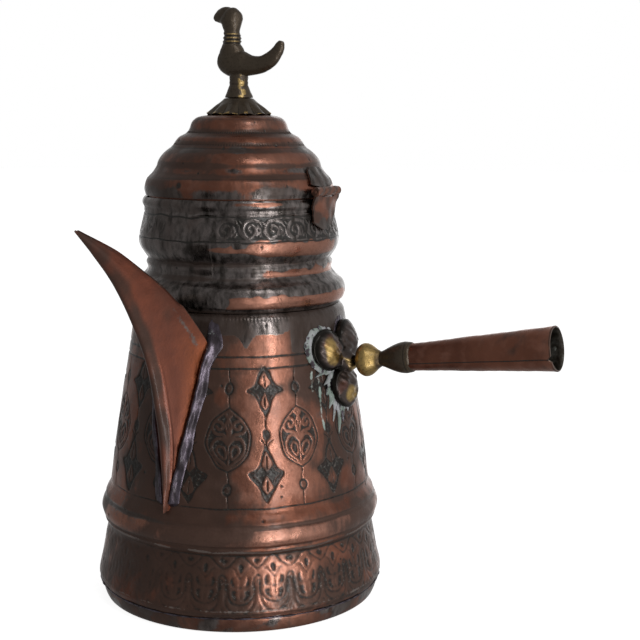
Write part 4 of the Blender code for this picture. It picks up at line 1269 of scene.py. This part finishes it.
def make_bird(material):
    """Cast bird on its pedestal, its limbs melted into one skin."""
    body = [(-11.6, 270.2, 1.6, 1.2), (-10.0, 269.9, 4.6, 3.8), (-5.0, 268.9, 7.0, 5.6),
            (1.0, 267.8, 6.5, 5.5), (7.6, 266.9, 4.9, 4.4), (13.4, 267.4, 4.2, 3.5),
            (18.2, 269.7, 3.9, 3.0), (21.9, 273.2, 3.2, 2.5), (23.7, 276.6, 2.3, 1.8),
            (24.2, 278.4, 1.2, 1.0)]
    neck = [(-4.4, 266.4, 4.6, 4.4), (-3.9, 272.6, 6.6, 5.2), (-3.9, 276.4, 5.2, 4.8),
            (-3.8, 277.9, 4.1, 4.1), (-3.8, 278.6, 4.8, 4.7), (-3.8, 279.4, 4.1, 4.1),
            (-3.8, 280.4, 4.7, 4.6), (-3.75, 281.3, 3.9, 3.9), (-3.7, 282.2, 4.4, 4.3),
            (-3.6, 283.1, 3.8, 3.8), (-3.9, 286.4, 4.9, 4.5), (-4.3, 289.5, 6.0, 5.2),
            (-5.1, 292.1, 4.9, 4.2), (-6.0, 293.6, 2.8, 2.6), (-6.5, 294.4, 1.0, 1.0)]
    beak = [(-3.0, 289.0, 4.6, 3.4), (-7.0, 290.9, 4.8, 3.5), (-10.2, 291.0, 3.8, 2.7),
            (-12.6, 290.3, 2.4, 1.8), (-14.0, 289.6, 1.2, 1.0)]
    stand = [(0.001, 263.5), (4.6, 262.6), (4.7, 260.8), (4.45, 259.4), (4.7, 258.5), (4.5, 257.6),
             (5.2, 256.0), (5.9, 254.0), (7.0, 251.6), (7.1, 251.2), (4.2, 251.1), (4.2, 247.8),
             (2.5, 247.6), (2.5, 240.4), (3.6, 240.2), (3.3, 239.2), (0.001, 238.8)]
    points = round_piece(stand, 48)
    meshes = [limb(body), limb(neck), limb(beak), grid_mesh(points, capped=True)]
    bm = bmesh.new()
    for mesh in meshes:
        bm.from_mesh(mesh)
    bird = add_piece("bird", mesh_of(bm, "bird"), "lid", "finial_bird", material, 180)
    skin = bird.modifiers.new("skin", "REMESH")
    skin.mode = "VOXEL"
    skin.voxel_size = 0.3 * MM
    soft = bird.modifiers.new("soft", "SMOOTH")
    soft.factor, soft.iterations = 0.5, 4
    apply_modifiers(bird)
    mesh = bird.data
    count = len(mesh.vertices)
    places = np.empty(count * 3, np.float32)
    mesh.vertices.foreach_get("co", places)
    places = places.reshape(-1, 3) / MM
    x, z = places[:, 0], places[:, 2]
    around_neck = abs(x - NECK_X) < 6
    rings = np.maximum.reduce([hump(z, at, 0.45) for at in NECK_RINGS]) * around_neck
    # painted highlights over real wear: the neck rings and a strip of the stand turn golden only on the side
    # facing the key light
    ring_wear_and_highlight = rings * facing(np.arctan2(places[:, 1], x - NECK_X), -55, 50, 25)
    stand_wear_and_highlight = (z < 262.5) * (z > 251) * facing(np.arctan2(places[:, 1], x), -44, 24, 16)
    stand_wear_and_highlight = stand_wear_and_highlight * step(-1.6, 0.1, cloud(places, 3, 124) + cloud(places, 9, 121))
    wear = 0.02 + 0.75 * ring_wear_and_highlight + 0.8 * stand_wear_and_highlight
    hollow = np.maximum.reduce([hump(z, at - 0.9, 0.3) for at in NECK_RINGS]) * around_neck
    hollow = np.maximum(hollow, 0.6 * hump(z, 257.8, 0.3))
    lift = (0.10 * cloud(places, 5, 122) + 0.05 * cloud(places, 2.2, 123)) * (z > 251.5)
    centre = np.column_stack([x - np.where(z > 276, NECK_X, 0), places[:, 1], 0 * x])
    centre /= np.maximum(np.linalg.norm(centre, axis=1, keepdims=True), 0.5)
    mesh.vertices.foreach_set("co", ((places + centre * lift[:, None]) * MM).astype(np.float32).ravel())
    paint(mesh, "wear", wear)
    paint(mesh, "groove", hollow)
    mesh.materials.clear()
    mesh.materials.append(material)
    mesh.shade_smooth()
    mesh.update()


# ---- stage ----

def make_floor():
    """White ground just under the pot, seen by the camera and left out of reflections."""
    bm = bmesh.new()
    bmesh.ops.create_circle(bm, cap_ends=True, segments=96, radius=6.0)
    floor = linked("floor", mesh_of(bm, "floor"))
    floor.location.z = -0.2 * MM
    material = bpy.data.materials.new("floor_white")
    material.use_nodes = True
    shader = material.node_tree.nodes["Principled BSDF"]
    shader.inputs["Base Color"].default_value = (0.86, 0.86, 0.86, 1)
    shader.inputs["Roughness"].default_value = 0.9
    shader.inputs["Emission Color"].default_value = (1, 1, 1, 1)
    shader.inputs["Emission Strength"].default_value = 0.86
    floor.data.materials.append(material)
    floor.visible_glossy = False
    floor.visible_diffuse = False
    floor.visible_shadow = False


def toward(turn, rise):
    """Unit vector at degrees round from -Y towards +X, and degrees above the horizon."""
    turn, rise = radians(turn), radians(rise)
    return Vector((sin(turn) * cos(rise), -cos(turn) * cos(rise), sin(rise)))


def add_light(name, turn, rise, distance, width, height, power):
    """White area light aimed at the middle of the pot, in metres and watts."""
    lamp = bpy.data.lights.new(name, "AREA")
    lamp.shape = "RECTANGLE"
    lamp.size, lamp.size_y = width, height
    lamp.energy = power
    item = linked(name, lamp)
    way = toward(turn, rise)
    item.location = way * distance + LIGHT_CENTRE
    item.rotation_euler = (-way).to_track_quat("-Z", "Y").to_euler()


def make_world():
    """White to the camera, and to the metal a dim room with soft pale regions."""
    world = bpy.data.worlds.new("room")
    bpy.context.scene.world = world
    world.use_nodes = True
    world.node_tree.nodes.clear()
    nodes = Nodes(world.node_tree)
    way = nodes.new("TexCoord").outputs["Generated"]
    total = WORLD_DIM
    for turn, rise, half, strength in WORLD_GLOWS:
        dot = nodes.new("VectorMath")
        dot.operation = "DOT_PRODUCT"
        nodes.put(dot.inputs[0], way)
        nodes.put(dot.inputs[1], toward(turn, rise))
        glow = nodes.between(cos(radians(half)), 1.0, dot.outputs["Value"], 0.0, strength)
        total = nodes.add(glow, total)
    room = nodes.new("Background")
    nodes.put(room.inputs["Strength"], total)
    white = nodes.new("Background")
    nodes.put(white.inputs["Color"], (1, 1, 1, 1))
    nodes.put(white.inputs["Strength"], 1.0)
    choose = nodes.new("MixShader")
    seen = nodes.new("LightPath").outputs["Is Camera Ray"]
    for socket, value in zip(choose.inputs, (seen, room.outputs[0], white.outputs[0])):
        nodes.put(socket, value)
    nodes.put(nodes.new("OutputWorld").inputs["Surface"], choose.outputs[0])


scene_view = bpy.context.scene.view_settings
scene_view.view_transform = "Standard"
scene_view.look = "None"

make_camera()
make_world()
make_floor()
add_light("key_strip", 62, -8, 1.5, 0.2, 1.7, 6.6)
add_light("top_soft", 64, 50, 1.5, 0.4, 0.7, 2.6)

AGED = copper_finish("copper_worn", (0.20, 0.076, 0.047), (0.35, 0.138, 0.085), (0.58, 0.285, 0.205))
TINNED = copper_finish("copper_tinned", (0.16, 0.066, 0.044), (0.28, 0.115, 0.072), (0.56, 0.27, 0.19),
                       tin_all=0.1)
BARE = copper_finish("copper_bare", (0.25, 0.092, 0.062), (0.30, 0.102, 0.063), (0.64, 0.185, 0.066),
                     gloss=0.44, dark_from=0.66, mottle=0.25)
BRASS = brass_finish("brass_worn", (0.56, 0.38, 0.14), (0.10, 0.074, 0.066))
DARK_BRASS = brass_finish("brass_dark", (0.60, 0.42, 0.17), (0.112, 0.084, 0.058), wear_from=0.62, gloss=0.34)
SOLDER = solder_finish("solder_grey", (0.056, 0.045, 0.052), (0.16, 0.132, 0.165), gloss=0.36)

make_pot(AGED, TINNED)
make_base_solder(SOLDER)
make_spout(BARE)
make_fillet("fillet_right", 1, "spout_solder_right", SOLDER)
make_fillet("fillet_left", -1, "spout_solder_left", SOLDER)
make_escutcheon(BRASS, SOLDER)
make_handle(BRASS, DARK_BRASS, AGED)
make_hinge(AGED, TINNED, DARK_BRASS)
make_lid(AGED, TINNED, BRASS)
make_skirt(DARK_BRASS)
make_bird(DARK_BRASS)
